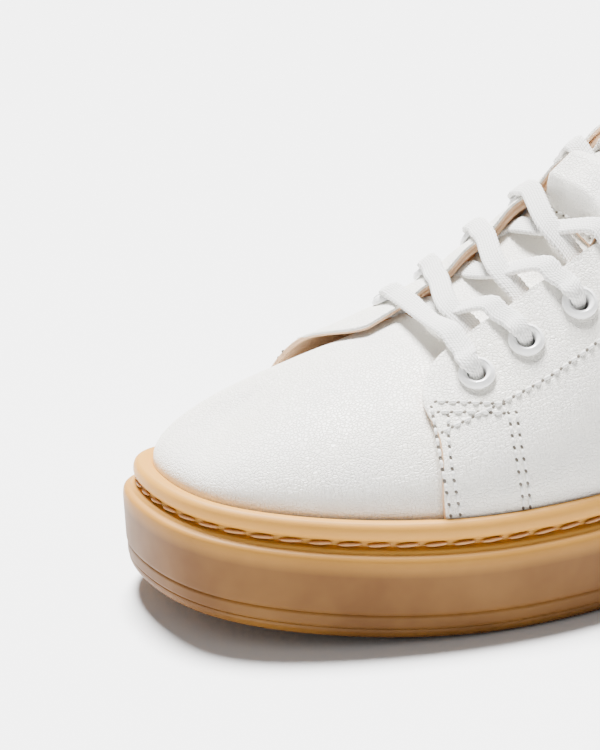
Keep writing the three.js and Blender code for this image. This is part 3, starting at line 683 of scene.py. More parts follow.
def closed_ring(points: Array) -> Shape:
    """Closed skin from a net that runs round the sole and ends on its middle line.

    Row i and row -i meet on the middle line, so their first and last points are made one.

    Args:
        points: net of shape (steps, columns, numbers).

    Returns:
        The points and the face arrays.
    """
    steps, columns = points.shape[:2]
    number = np.arange(steps * columns).reshape(steps, columns)
    mirror = (steps - np.arange(steps)) % steps
    for edge in (0, columns - 1):
        number[:, edge] = np.minimum(number[:, edge], number[mirror, edge])
    quads = np.concatenate([number, number[:1]]).ravel()[grid_faces(steps + 1, columns)]
    return compact(points.reshape(steps * columns, -1), [quads])


def compact(points: Array, faces: list[Array]) -> Shape:
    """Points without those that no face uses, and the faces renumbered.

    Args:
        points: the points.
        faces: arrays of indices.

    Returns:
        The kept points and the face arrays.
    """
    used = np.zeros(len(points), bool)
    for group in faces:
        used[group.ravel()] = True
    number = np.cumsum(used) - 1
    return points[used], [number[group] for group in faces]


def tube(rings: Array) -> Shape:
    """Closed tube through rings of points of shape (count, sides, 3), with fans at its ends.

    Args:
        rings: the rings of points.

    Returns:
        The points and the face arrays.
    """
    count, sides = rings.shape[:2]
    centres = np.stack([rings[0].mean(axis=0), rings[-1].mean(axis=0)])
    body = grid_faces(count, sides, around=True)
    k = np.arange(sides)
    start, end = count * sides, count * sides + 1
    last = (count - 1) * sides
    caps = np.concatenate([
        np.stack([(k + 1) % sides, k, np.full(sides, start)], axis=-1),
        np.stack([last + k, last + (k + 1) % sides, np.full(sides, end)], axis=-1),
    ])
    return np.concatenate([rings.reshape(-1, 3), centres]), [body, caps]


def round_edge(distance: Array, radius: float) -> Array:
    """How far a rounded border falls back: radius less a quarter circle over the distance in.

    The fall stops just short of the radius, so that the two faces of a sheet never meet.
    """
    share = np.clip(1 - np.asarray(distance) / radius, 0, 0.995)
    return radius * (1 - np.sqrt(np.maximum(1 - share ** 2, 0)))


def bordered(count: int, length: float, radius: float) -> Array:
    """Places 0..1 with finer steps inside a radius of both ends of a length."""
    fine = radius * (1 - np.cos(np.linspace(0, math.pi / 2, 5))) / length
    middle = np.linspace(fine[-1], 1 - fine[-1], count)[1:-1]
    return np.concatenate([fine, middle, 1 - fine[::-1]])


def lathe(profile: Array, steps: int, centre: Array, axis: Array) -> Shape:
    """Ring from a closed profile of (radius, height) turned about an axis through a centre.

    Args:
        profile: pairs of radius and height.
        steps: how many steps round.
        centre: a point of the axis.
        axis: unit vector.

    Returns:
        The points and the face arrays.
    """
    side = unit(np.cross(axis, [0.0, 1.0, 0.0]))
    other = np.cross(axis, side)
    angle = np.linspace(0, 2 * math.pi, steps, endpoint=False)[:, None, None]
    spoke = np.cos(angle) * side + np.sin(angle) * other
    points = centre + spoke * profile[None, :, :1] + axis * profile[None, :, 1:]
    faces = grid_faces(steps, len(profile), around=True)
    r = np.arange(len(profile))
    last = (steps - 1) * len(profile)
    seam = np.stack([last + r, last + (r + 1) % len(profile), (r + 1) % len(profile), r], axis=-1)
    return points.reshape(-1, 3), [np.concatenate([faces, seam])]


def filleted(corners: list[tuple[float, float, float]], steps: int = 4) -> Array:
    """Open profile whose corners are rounded.

    Each corner (a, b, radius) becomes a parabola that starts and ends a radius from it.

    Args:
        corners: the corner points with their radii.
        steps: pieces of each rounded corner.

    Returns:
        The profile's points.
    """
    table = np.array(corners, float)
    p, r = table[:, :2], table[:, 2:]
    inner = p[1:-1]
    a = inner + unit(p[:-2] - inner) * r[1:-1]
    b = inner + unit(p[2:] - inner) * r[1:-1]
    u = np.linspace(0, 1, steps + 1)[None, :, None]
    arcs = a[:, None] * (1 - u) ** 2 + inner[:, None] * 2 * u * (1 - u) + b[:, None] * u ** 2
    return np.concatenate([p[:1], arcs.reshape(-1, 2), p[-1:]])


@dataclass(frozen=True)
class Thread:
    """A sewing thread: its stitch pitch, its thickness and the size of the dark drops painted as shade
    at its needle holes.
    """

    pitch: float
    radius: float
    share: float = 0.8
    rise: float = 0.35
    hole: float = 0.42

    def stitches(self, path: Array, normals: Array, slant: float = 0.0) -> Shape:
        """Separate stitches along a path on a surface.

        A stitch is a bead whose radius and height both follow the root of 1 less a squared,
        with a from -1 to 1 along it.

        Args:
            path: points on the surface, closely spaced.
            normals: the surface's normals there.
            slant: how far each stitch leans across the row, as a share of its length.

        Returns:
            The points and face arrays of all the stitches.
        """
        index, _ = along_path(path, self.pitch)
        middle = (index[1:] + index[:-1]) / 2
        centre, up = at_index(path, middle), unit(at_index(normals, middle))
        direction = at_index(path, index[1:]) - at_index(path, index[:-1])
        length = np.linalg.norm(direction, axis=-1) * self.share
        leaning = unit(unit(direction) + unit(np.cross(up, direction)) * slant)
        return beads(centre, leaning, up, length, self.radius, self.rise)

    def holes(self, path: Array, normals: Array) -> Shape:
        """Needle holes between the stitches, as painted shade: flat dark drops at the places where
        thread dips, standing in for the shade of the holes and of a sunk seam groove.

        Args:
            path: points on the surface, closely spaced.
            normals: the surface's normals there.

        Returns:
            The points and face arrays of all the shade drops.
        """
        index, _ = along_path(path, self.pitch)
        centre, up = at_index(path, index), unit(at_index(normals, index))
        ahead = (at_index(path, np.minimum(index + 0.2, len(path) - 1))
                 - at_index(path, np.maximum(index - 0.2, 0)))
        length = np.full(len(centre), self.hole * 2.6)
        turned = unit(unit(ahead) + unit(np.cross(up, ahead)) * 0.5)
        # painted shade: dark drops sit at the needle holes in place of the shade of the holes and the
        # seam groove
        return beads(centre - up * 0.1, turned, up, length, self.hole, 0.0, flat=0.5)


def beads(centre: Array, direction: Array, up: Array, length: Array, radius: float, rise: float,
          flat: float = 1.0) -> Shape:
    """Many small closed drops, each a net of 5 rings of 6 points between two poles.

    Args:
        centre: the drops' middles, shape (n, 3).
        direction: unit vectors along them.
        up: unit vectors away from the surface.
        length: their lengths.
        radius: their thickest radius.
        rise: share of the radius by which the middle stands higher than the ends.
        flat: height over width.

    Returns:
        The points and face arrays.
    """
    count, rings, sides = len(centre), 5, 6
    a = np.linspace(-1, 1, rings + 2)[1:-1]
    swell = np.sqrt(1 - a ** 2)[:, None]
    angle = np.linspace(0, 2 * math.pi, sides, endpoint=False)[None, :]
    across = unit(np.cross(direction, up))
    lengthwise = (a[:, None] / 2 * np.ones_like(angle)).ravel()
    sideways = (radius * swell * np.cos(angle)).ravel()
    height = (radius * swell * np.sin(angle) * flat + radius * rise * (2 * swell - 1)).ravel()
    lengthwise = np.concatenate([lengthwise, [-0.5, 0.5]])
    sideways = np.concatenate([sideways, [0, 0]])
    height = np.concatenate([height, [-radius * rise, -radius * rise]])
    points = (centre[:, None] + direction[:, None] * (lengthwise[None, :] * length[:, None])[..., None]
              + across[:, None] * sideways[None, :, None] + up[:, None] * height[None, :, None])
    k = np.arange(sides)
    nxt = (k + 1) % sides
    last = (rings - 1) * sides
    low, high = rings * sides, rings * sides + 1
    quads = grid_faces(rings, sides, around=True)
    tips = np.concatenate([
        np.stack([nxt, k, np.full(sides, low)], axis=-1),
        np.stack([last + k, last + nxt, np.full(sides, high)], axis=-1),
    ])
    shift = (np.arange(count) * (rings * sides + 2))[:, None, None]
    faces = [(quads[None] + shift).reshape(-1, 4), (tips[None] + shift).reshape(-1, 3)]
    return points.reshape(-1, 3), faces


def joined(parts: list[Shape]) -> Shape:
    """Several closed shapes as one list of points and faces.

    Args:
        parts: points and face arrays of each shape.

    Returns:
        The points and the face arrays.
    """
    points, faces, shift = [], [], 0
    for more, groups in parts:
        points.append(more)
        faces.extend(group + shift for group in groups)
        shift += len(more)
    return np.concatenate(points), faces


# ------ finishes

class Graph:
    """A node tree with short calls to add and join its nodes."""

    def __init__(self, tree: bpy.types.NodeTree) -> None:
        """Takes the tree and empties it."""
        self.tree = tree
        tree.nodes.clear()

    def add(self, kind: str, inputs: dict | None = None, **options: object) -> Node:
        """New node with its options set and its inputs given a value or joined to a socket.

        Args:
            kind: the node's type.
            inputs: values or sockets by input name or number.
            options: the node's own settings.

        Returns:
            The node.
        """
        node = self.tree.nodes.new(kind if kind.startswith("Node") else f"ShaderNode{kind}")
        for label, value in options.items():
            setattr(node, label, value)
        self.feed(node, inputs or {})
        return node

    def feed(self, node: Node, inputs: dict) -> None:
        """Gives a node's inputs a value or joins them to a socket.

        Args:
            node: the node.
            inputs: values or sockets by input name or number.
        """
        for label, value in inputs.items():
            if isinstance(value, Socket):
                self.tree.links.new(value, node.inputs[label])
            else:
                node.inputs[label].default_value = value

    def math(self, operation: str, *values: object) -> Socket:
        """Result of a Math node on numbers or sockets."""
        node = self.add("Math", dict(enumerate(values)), operation=operation)
        return node.outputs[0]

    def spread(self, value: Socket, low: float, high: float, start: float = 0.0,
               end: float = 1.0) -> Socket:
        """Value carried from low..high to start..end, kept inside them."""
        node = self.add("MapRange", {"Value": value, "From Min": low, "From Max": high,
                                               "To Min": start, "To Max": end})
        return node.outputs["Result"]

    def blend(self, share: object, a: object, b: object) -> Socket:
        """Colour a turned to colour b by a share."""
        return self.add("Mix", {0: share, 6: a, 7: b}, data_type="RGBA").outputs[2]


def new_group(name: str, inputs: dict[str, float | None], outputs: dict[str, str]) -> tuple:
    """Empty shader node group.

    Args:
        name: the group's name.
        inputs: names with their usual values; None stands for a vector.
        outputs: names with their kinds.

    Returns:
        The group, its graph, its input node and its output node.
    """
    group = bpy.data.node_groups.new(name, "ShaderNodeTree")
    for label, value in inputs.items():
        kind = "NodeSocketVector" if value is None else "NodeSocketFloat"
        socket = group.interface.new_socket(label, in_out="INPUT", socket_type=kind)
        if value is not None:
            socket.default_value = value
    for label, kind in outputs.items():
        group.interface.new_socket(label, in_out="OUTPUT", socket_type=kind)
    graph = Graph(group)
    return group, graph, graph.add("NodeGroupInput"), graph.add("NodeGroupOutput")


def make_grain_group() -> bpy.types.NodeTree:
    """Leather grain: small cells with sunken edges, mixed with fine creases and a slow swell.

    Height is the cell edge distance, levelled off, plus weak stretched noise; Mottle is slow
    noise for colour and gloss.

    Returns:
        The group.
    """
    group, graph, source, sink = new_group(
        "leather_grain", {"Vector": None, "Cell": 0.0011, "Crease": 0.3, "Swell": 0.2},
        {"Height": "NodeSocketFloat", "Mottle": "NodeSocketFloat"})
    place, cell = source.outputs["Vector"], source.outputs["Cell"]
    warp = graph.add("TexNoise", {"Vector": place, "Scale": 260.0, "Detail": 2.0})
    bent = graph.add("VectorMath", {0: warp.outputs["Color"], "Scale": 0.0009},
                     operation="SCALE")
    moved = graph.add("VectorMath", {0: place, 1: bent.outputs[0]}, operation="ADD")
    density = graph.math("DIVIDE", 1.0, cell)
    cells = graph.add("TexVoronoi", {"Vector": moved.outputs[0], "Scale": density},
                      feature="DISTANCE_TO_EDGE")
    raised = graph.spread(cells.outputs["Distance"], 0.0, 0.16)
    folds = graph.add("TexNoise", {"Vector": moved.outputs[0], "Scale": 480.0, "Detail": 4.0,
                                             "Roughness": 0.62})
    slow = graph.add("TexNoise", {"Vector": place, "Scale": 55.0, "Detail": 3.0})
    creases = graph.math("MULTIPLY", folds.outputs["Fac"], source.outputs["Crease"])
    swells = graph.math("MULTIPLY", slow.outputs["Fac"], source.outputs["Swell"])
    height = graph.math("ADD", graph.math("ADD", raised, creases), swells)
    graph.feed(sink, {"Height": height, "Mottle": slow.outputs["Fac"]})
    return group


def make_speckle_group() -> bpy.types.NodeTree:
    """Fine pores and soft dust: high noise for a Height, low noise raised to a mask.

    Returns:
        The group.
    """
    group, graph, source, sink = new_group(
        "fine_speckle", {"Vector": None, "Size": 0.0006},
        {"Height": "NodeSocketFloat", "Mask": "NodeSocketFloat"})
    place = source.outputs["Vector"]
    density = graph.math("DIVIDE", 1.0, source.outputs["Size"])
    fine = graph.add("TexNoise", {"Vector": place, "Scale": density, "Detail": 3.0})
    slow = graph.add("TexNoise", {"Vector": place, "Scale": 24.0, "Detail": 4.0,
                                            "Roughness": 0.6})
    mask = graph.spread(slow.outputs["Fac"], 0.35, 0.7)
    graph.feed(sink, {"Height": fine.outputs["Fac"], "Mask": mask})
    return group


GRAIN = make_grain_group()
SPECKLE = make_speckle_group()


def start_material(name: str) -> tuple[bpy.types.Material, Graph, Node, Socket]:
    """New material with an empty graph, its shader, and its Object coordinates.

    Args:
        name: the material's name.

    Returns:
        The material, its graph, its shader and its coordinates.
    """
    material = bpy.data.materials.new(name)
    material.use_nodes = True
    graph = Graph(material.node_tree)
    shader = graph.add("BsdfPrincipled")
    graph.add("OutputMaterial", {"Surface": shader.outputs[0]})
    place = graph.add("TexCoord").outputs["Object"]
    return material, graph, shader, place


def bump(graph: Graph, shader: Node, height: Socket, strength: float,
         depth: float) -> None:
    """Joins a height to the shader's normal; depth is in metres."""
    node = graph.add("Bump", {"Height": height, "Strength": strength, "Distance": depth})
    graph.feed(shader, {"Normal": node.outputs[0]})


@dataclass(frozen=True)
class Leather:
    """Leather with a grain; a per-vertex mark named raw shows the raw cut edge's colour."""

    name: str
    colour: tuple
    shade: tuple
    raw: tuple
    roughness: float
    cell: float = 0.001
    relief: float = 0.9

    def material(self) -> bpy.types.Material:
        """Builds the material.

        Returns:
            The material.
        """
        material, graph, shader, place = start_material(self.name)
        grain = graph.add("Group", {"Vector": place, "Cell": self.cell}, node_tree=GRAIN)
        mottle = graph.spread(grain.outputs["Mottle"], 0.35, 0.7)
        skin = graph.blend(mottle, self.colour, self.shade)
        mark = graph.add("Attribute", attribute_name="raw").outputs["Fac"]
        colour = graph.blend(graph.spread(mark, 0.35, 0.65), skin, self.raw)
        rough = graph.spread(mottle, 0.0, 1.0, self.roughness - 0.05, self.roughness + 0.07)
        graph.feed(shader, {"Base Color": colour, "Roughness": rough, "Specular IOR Level": 0.42})
        bump(graph, shader, grain.outputs["Height"], self.relief, 0.00016)
        return material


@dataclass(frozen=True)
class GumRubber:
    """Gum rubber: warm, slightly clear, with faint pores; painted shade darkens it on the upright wall,
    where the level mark (height) is low, and the upward-facing rim is painted lighter as if lit from
    above.
    """

    name: str
    # light is the rim colour painted lit from above; the next colour is the wall colour with painted
    # shade
    light: tuple
    shaded_wall_colour: tuple
    roughness: float

    def material(self) -> bpy.types.Material:
        """Builds the material.

        Returns:
            The material.
        """
        material, graph, shader, place = start_material(self.name)
        speckle = graph.add("Group", {"Vector": place}, node_tree=SPECKLE)
        level = graph.add("Attribute", attribute_name="level").outputs["Fac"]
        # painted shade: below the rim the gum turns to the shaded wall colour, mixed with a little
        # random speckle tone
        low = graph.spread(level, 17.5, 25.5, 1.0, 0.0)
        share = graph.math("ADD", graph.math("MULTIPLY", low, 0.85),
                           graph.math("MULTIPLY", speckle.outputs["Mask"], 0.15))
        colour = graph.blend(share, self.light, self.shaded_wall_colour)
        rough = graph.spread(speckle.outputs["Mask"], 0.0, 1.0, self.roughness - 0.04,
                             self.roughness + 0.08)
        graph.feed(shader, {"Base Color": colour, "Roughness": rough, "Specular IOR Level": 0.2,
                            "Subsurface Weight": 0.06, "Subsurface Radius": (0.004, 0.002, 0.001),
                            "Subsurface Scale": 0.6})
        bump(graph, shader, speckle.outputs["Height"], 0.12, 0.00008)
        return material


@dataclass(frozen=True)
class Fabric:
    """Threads, foam, board or cotton: matt, with a fine speckled relief."""

    name: str
    colour: tuple
    shade: tuple
    roughness: float = 0.9
    size: float = 0.0005
    relief: float = 0.3

    def material(self) -> bpy.types.Material:
        """Builds the material.

        Returns:
            The material.
        """
        material, graph, shader, place = start_material(self.name)
        speckle = graph.add("Group", {"Vector": place, "Size": self.size}, node_tree=SPECKLE)
        share = graph.math("MULTIPLY", speckle.outputs["Height"], speckle.outputs["Mask"])
        graph.feed(shader, {"Base Color": graph.blend(share, self.colour, self.shade),
                            "Roughness": self.roughness, "Specular IOR Level": 0.25})
        bump(graph, shader, speckle.outputs["Height"], self.relief, 0.00015)
        return material


def make_weave_group() -> bpy.types.NodeTree:
    """Woven cord: V-shaped threads along a lace, from its walked length and its width in mm.

    The phase is the length over the pitch plus the distance from the middle over the slope;
    the height is the rounded wave of the phase times that of the ribs across.

    Returns:
        The group.
    """
    group, graph, source, sink = new_group(
        "woven_cord", {"Vector": None, "Pitch": 0.95, "Slope": 1.3, "Rib": 0.78},
        {"Height": "NodeSocketFloat"})
    parts = graph.add("SeparateXYZ", {0: source.outputs["Vector"]})
    aside = graph.math("DIVIDE", graph.math("ABSOLUTE", parts.outputs["Y"]), source.outputs["Slope"])
    along = graph.math("ADD", graph.math("DIVIDE", parts.outputs["X"], source.outputs["Pitch"]), aside)
    thread = graph.math("ABSOLUTE", graph.math("SINE", graph.math("MULTIPLY", along, math.pi)))
    ribs = graph.math("DIVIDE", parts.outputs["Y"], source.outputs["Rib"])
    rib = graph.math("ABSOLUTE", graph.math("COSINE", graph.math("MULTIPLY", ribs, math.pi)))
    height = graph.math("MULTIPLY", graph.math("POWER", thread, 0.5), graph.math("POWER", rib, 0.6))
    graph.feed(sink, {"Height": height})
    return group


WEAVE = make_weave_group()


@dataclass(frozen=True)
class Woven:
    """Woven cotton: raised threads, with painted shade darkening the furrows between them, read from
    the lace's weave mark.
    """

    name: str
    colour: tuple
    shade: tuple
    roughness: float = 0.92
    relief: float = 0.8

    def material(self) -> bpy.types.Material:
        """Builds the material.

        Returns:
            The material.
        """
        material, graph, shader, place = start_material(self.name)
        mark = graph.add("Attribute", attribute_name="weave").outputs["Vector"]
        weave = graph.add("Group", {"Vector": mark}, node_tree=WEAVE)
        speckle = graph.add("Group", {"Vector": place, "Size": 0.0003}, node_tree=SPECKLE)
        # painted shade: the colour turns to the shade colour where the weave height is low, in the
        # furrows
        share = graph.spread(weave.outputs["Height"], 0.05, 0.75)
        graph.feed(shader, {"Base Color": graph.blend(share, self.shade, self.colour),
                            "Roughness": self.roughness, "Specular IOR Level": 0.2,
                            "Sheen Weight": 0.25})
        fluff = graph.math("MULTIPLY", speckle.outputs["Height"], 0.5)
        height = graph.math("ADD", weave.outputs["Height"], fluff)
        bump(graph, shader, height, self.relief, 0.00022)
        return material


@dataclass(frozen=True)
class Gloss:
    """Smooth enamel or clear film."""

    name: str
    colour: tuple
    roughness: float
    coat: float = 0.0
    clear: float = 0.0

    def material(self) -> bpy.types.Material:
        """Builds the material.

        Returns:
            The material.
        """
        material, graph, shader, _ = start_material(self.name)
        graph.feed(shader, {"Base Color": self.colour, "Roughness": self.roughness,
                            "Coat Weight": self.coat, "Coat Roughness": 0.08,
                            "Transmission Weight": self.clear})
        return material


TAN = (0.68, 0.44, 0.26, 1)
WHITE = (0.92, 0.89, 0.81, 1)


class Finish(Enum):
    """The shoe's finishes."""

    WHITE_LEATHER = Leather("white_leather", WHITE, (0.86, 0.835, 0.785, 1), TAN, 0.46)
    TAN_LEATHER = Leather("tan_lining_leather", TAN, (0.62, 0.40, 0.25, 1), TAN, 0.62, 0.0009, 0.25)
    # gum: the first colour is the rim painted lit from above, the second the upright wall with painted
    # shade
    GUM = GumRubber("gum_rubber", (0.54, 0.26, 0.042, 1), (0.110, 0.043, 0.006, 1), 0.48)
    SOLE_THREAD = Fabric("brown_waxed_thread", (0.52, 0.27, 0.11, 1), (0.34, 0.15, 0.055, 1), 0.6)
    SEAM_THREAD = Fabric("white_seam_thread", (0.84, 0.83, 0.80, 1), (0.68, 0.66, 0.62, 1), 0.7)
    # needle holes: dark colour painted as the shade in the holes and the seam groove
    NEEDLE_HOLE_SHADOW = Fabric("needle_hole_shadow_shade", (0.17, 0.15, 0.125, 1), (0.09, 0.075, 0.06, 1), 0.9)
    # cotton: the second colour is the painted shade in the weave's furrows
    COTTON = Woven("white_cotton", (0.91, 0.90, 0.87, 1), (0.64, 0.625, 0.59, 1))
    FOAM = Fabric("padding_foam", (0.80, 0.75, 0.64, 1), (0.66, 0.60, 0.50, 1), 0.95, 0.0009, 0.6)
    BOARD = Fabric("fibre_board", (0.48, 0.36, 0.23, 1), (0.36, 0.26, 0.16, 1), 0.9, 0.0008, 0.4)
    STIFFENER = Fabric("stiffener_sheet", (0.68, 0.65, 0.57, 1), (0.58, 0.55, 0.48, 1), 0.7,
                       0.0006, 0.2)
    ENAMEL = Gloss("white_enamel", (0.88, 0.88, 0.87, 1), 0.22, 0.6)
    FILM = Gloss("clear_film", (0.86, 0.88, 0.88, 1), 0.12, 0.0, 0.6)


MATERIALS = {finish: finish.value.material() for finish in Finish}


def finish_piece(piece: Piece, finish: Finish, nodes: tuple[str, ...] = (),
                 body: str | None = "shoe") -> Piece:
    """Dresses a new piece, hides the CAD nodes that it replaces and hangs it on its body.

    Args:
        piece: the mesh object.
        finish: its finish.
        nodes: the CAD nodes that it stands for.
        body: the body that it rides on, or None to leave it on no body.

    Returns:
        The piece.
    """
    piece.data.materials.clear()
    piece.data.materials.append(MATERIALS[finish])
    if nodes:
        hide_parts(*nodes)
    if body:
        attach(piece, body)
    log.info("%s: %d faces", piece.name, len(piece.data.polygons))
    return piece


def dress_node(node: str, finish: Finish) -> None:
    """Gives a CAD node that stays its finish.

    Args:
        node: the node's name.
        finish: its finish.
    """
    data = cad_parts[node].data
    data.materials.clear()
    data.materials.append(MATERIALS[finish])
    log.info("%s keeps its frame shape", node)


# ------ the sole

@dataclass(frozen=True)
class Sole:
    """Gum rubber cup with its rolled rim, stitched groove, edge lines and tread."""

    steps: int = 480
    cavity: float = 6.0
    floor: float = 5.0
    groove_height: float = 25.3
    groove_inset: float = 4.25
    tread_depth: float = 0.9
    tread_inset: float = 9.0
    tread_columns: int = 43
    tread_pitch: float = 6.6
    thread: Thread = Thread(pitch=7.6, radius=0.52, share=0.9, rise=0.3)

    def profile(self) -> Pair:
        """Side profile from the cavity floor over the rim and down to the ground.

        Returns:
            Rows of (inset, height) and, for each, how far it follows the upper at the rim.
        """
        rows = [
            (self.cavity, self.floor, 0.0), (6.0, 27.2, 0.8), (8.2, 28.4, 0.8), (8.6, 30.1, 0.55),
            (7.4, 31.0, 0.9), (5.5, 31.25, 0.9), (4.1, 30.55, 0.9), (3.4, 28.9, 0.9),
            (3.4, 27.1, 0.7), (4.2, 26.3, 0.35), (4.9, 26.1, 0.15), (4.9, 24.6, 0.15),
            (3.9, 24.4, 0.3), (2.9, 24.15, 0.4), (2.3, 23.3, 0.35), (1.3, 23.0, 0.5),
            (0.35, 22.3, 0.7), (0.0, 20.6, 0.9), (0.0, 7.75, 0.5), (0.12, 7.3, 0.15),
            (0.62, 7.05, 0.12), (0.42, 6.75, 0.15), (0.22, 6.3, 0.3), (0.22, 3.75, 0.3),
            (0.3, 3.45, 0.12), (0.72, 3.25, 0.1), (0.5, 2.95, 0.12), (0.45, 2.2, 0.3),
            (0.95, 0.8, 0.6), (2.4, 0.0, 0.6), (4.5, 0.0, 0.3),
        ]
        line = filleted(rows)
        wall = np.linspace(19.7, 8.25, 9)[1:-1]
        follow = ease(line[:, 0], 5.6, 8.2) * (line[:, 1] > 26.6)
        cut = int(np.flatnonzero(line[:, 1] > 19.0)[-1]) + 1
        middle = np.stack([np.zeros_like(wall), wall], axis=-1)
        line = np.concatenate([line[:cut], middle, line[cut:]])
        follow = np.concatenate([follow[:cut], np.zeros(len(middle)), follow[cut:]])
        return line, follow

    def rim_reach(self, t: Array) -> Array:
        """How much further in the rim's lip lies where it meets the vamp instead of a quarter."""
        station = LAST.inset(t, LAST.feather)[..., 1]
        front = np.where(t < 0.5, 66.0, 54.0)
        return 0.85 * (1 - ease(station, front - 7, front + 1))

    def tread(self, x: Array, station: Array) -> Array:
        """Tread relief: grooves that zigzag across the sole.

        The phase is station over pitch plus a triangle wave of x; a groove lies where the
        phase's fraction is near a half.
        """
        zigzag = np.abs(((x / 17.0) % 1.0) * 2 - 1) * 1.35
        phase = (station / self.tread_pitch + zigzag) % 1.0
        return self.tread_depth * (1 - ease(np.abs(phase - 0.5), 0.10, 0.24))

    def cup(self) -> Piece:
        """Carries the profile round the outline and closes it with the floor and the tread.

        Its columns are the cavity's floor, the profile, the ground's border and the tread.

        Returns:
            The cup.
        """
        line, follow = self.profile()
        t = (np.arange(self.steps) / self.steps)[:, None]
        floor_share = np.array([1.0, 0.66, 0.33])
        ground_in = np.linspace(5.0, self.tread_inset, 5)
        ground_share = np.linspace(0, 1, self.tread_columns + 1)[1:]
        above, below = len(floor_share), len(ground_in) + self.tread_columns
        inset = np.concatenate([np.full(above, self.cavity), line[:, 0], ground_in,
                                np.full(self.tread_columns, self.tread_inset)])
        height = np.concatenate([np.full(above, self.floor), line[:, 1], np.zeros(below)])
        share = np.concatenate([floor_share, np.zeros(len(line) + len(ground_in)), ground_share])
        follow = np.concatenate([np.zeros(above), follow, np.zeros(below)])
        under = np.concatenate([np.zeros(above + len(line) + 1), ease(np.arange(below - 1), 0, 3)])
        distance = inset[None, :] + follow[None, :] * self.rim_reach(t)
        centre = LAST.to_middle(t, distance, share)
        z = height[None, :] + LAST.lift(centre[..., 1])
        z = z + under[None, :] * self.tread(centre[..., 0], centre[..., 1])
        points = LAST.place(centre[..., 0], centre[..., 1], z)
        # level is the profile height; the gum shader paints shade on the wall below the rim from it
        level = np.broadcast_to(height[None, :, None], points.shape[:2] + (1,))
        tagged, faces = closed_ring(np.concatenate([points, level], axis=-1))
        piece = build_mesh("gum_cup_sole", tagged[:, :3], faces, {"level": tagged[:, 3]}, crease=60)
        return finish_piece(piece, Finish.GUM, ("outsole_cup",))

    def stitching(self) -> Piece:
        """Lockstitches in the groove, all round.

        Returns:
            The thread.
        """
        t = np.linspace(0, 1, 2000)
        plan = LAST.inset(t, self.groove_inset)
        path = LAST.place(plan[:, 0], plan[:, 1], self.groove_height + LAST.lift(plan[:, 1]))
        out = LAST.outward(t)
        shape = self.thread.stitches(path, vec(out[:, 0], out[:, 1], 0.12 + 0 * t), slant=0.07)
        piece = build_mesh("sole_lockstitch", *shape, crease=80)
        return finish_piece(piece, Finish.SOLE_THREAD, ("sole_stitch_thread",))

    def build(self) -> None:
        """Builds the sole's pieces."""
        self.cup()
        self.stitching()
        dress_node("midsole_filler", Finish.FOAM)
        dress_node("lasting_board", Finish.BOARD)


@dataclass(frozen=True)
class Insole:
    """Foam and leather under the foot, curled up against the lining."""

    foam_bottom: float = 2.2
    foam: float = 3.4
    cover: float = 0.9
    edge: float = 14.6
    curl: float = 2.6
    border: float = 14.0
    steps: int = 200

    def plate(self, name: str, low: float, high: float, edge: float) -> Piece:
        """Plate whose border rises by curl times a smooth step over its width.

        Args:
            name: the plate's name.
            low: height of its underside over the filler.
            high: height of its top.
            edge: inset of its edge from the sole's outline.

        Returns:
            The plate.
        """
        t = (np.arange(self.steps) / self.steps)[:, None]
        rim = np.array([self.border, 10.0, 7.0, 4.5, 2.5, 1.2, 0.4, 0.1, 0.0])
        flat = np.linspace(1, 0, 10)[:-1]
        share = np.concatenate([flat, np.zeros(len(rim))])
        inward = np.concatenate([np.full(len(flat), self.border), rim])
        fall = round_edge(inward, (high - low) / 2)
        lift = self.curl * (1 - ease(inward, 0.0, self.border))
        share = np.concatenate([share, share[::-1]])
        distance = np.concatenate([inward, inward[::-1]]) + edge
        height = np.concatenate([high - fall + lift, (low + fall + lift)[::-1]])
        centre = LAST.to_middle(t, np.broadcast_to(distance, (self.steps, len(distance))), share)
        station = centre[..., 1]
        z = height[None, :] + LAST.filler_top(station) + LAST.lift(station)
        return build_mesh(name, *closed_ring(LAST.place(centre[..., 0], station, z)))

    def build(self) -> None:
        """Builds the sockliner's foam and cover."""
        top = self.foam_bottom + self.foam
        foam = self.plate("sock_foam_sheet", self.foam_bottom, top, self.edge + 1.5)
        finish_piece(foam, Finish.FOAM, ("sockliner_foam",))
        cover = self.plate("sock_leather_sheet", top + 0.1, top + 0.2 + self.cover, self.edge)
        finish_piece(cover, Finish.TAN_LEATHER, ("sockliner_cover",))


# ------ eyelets and lace

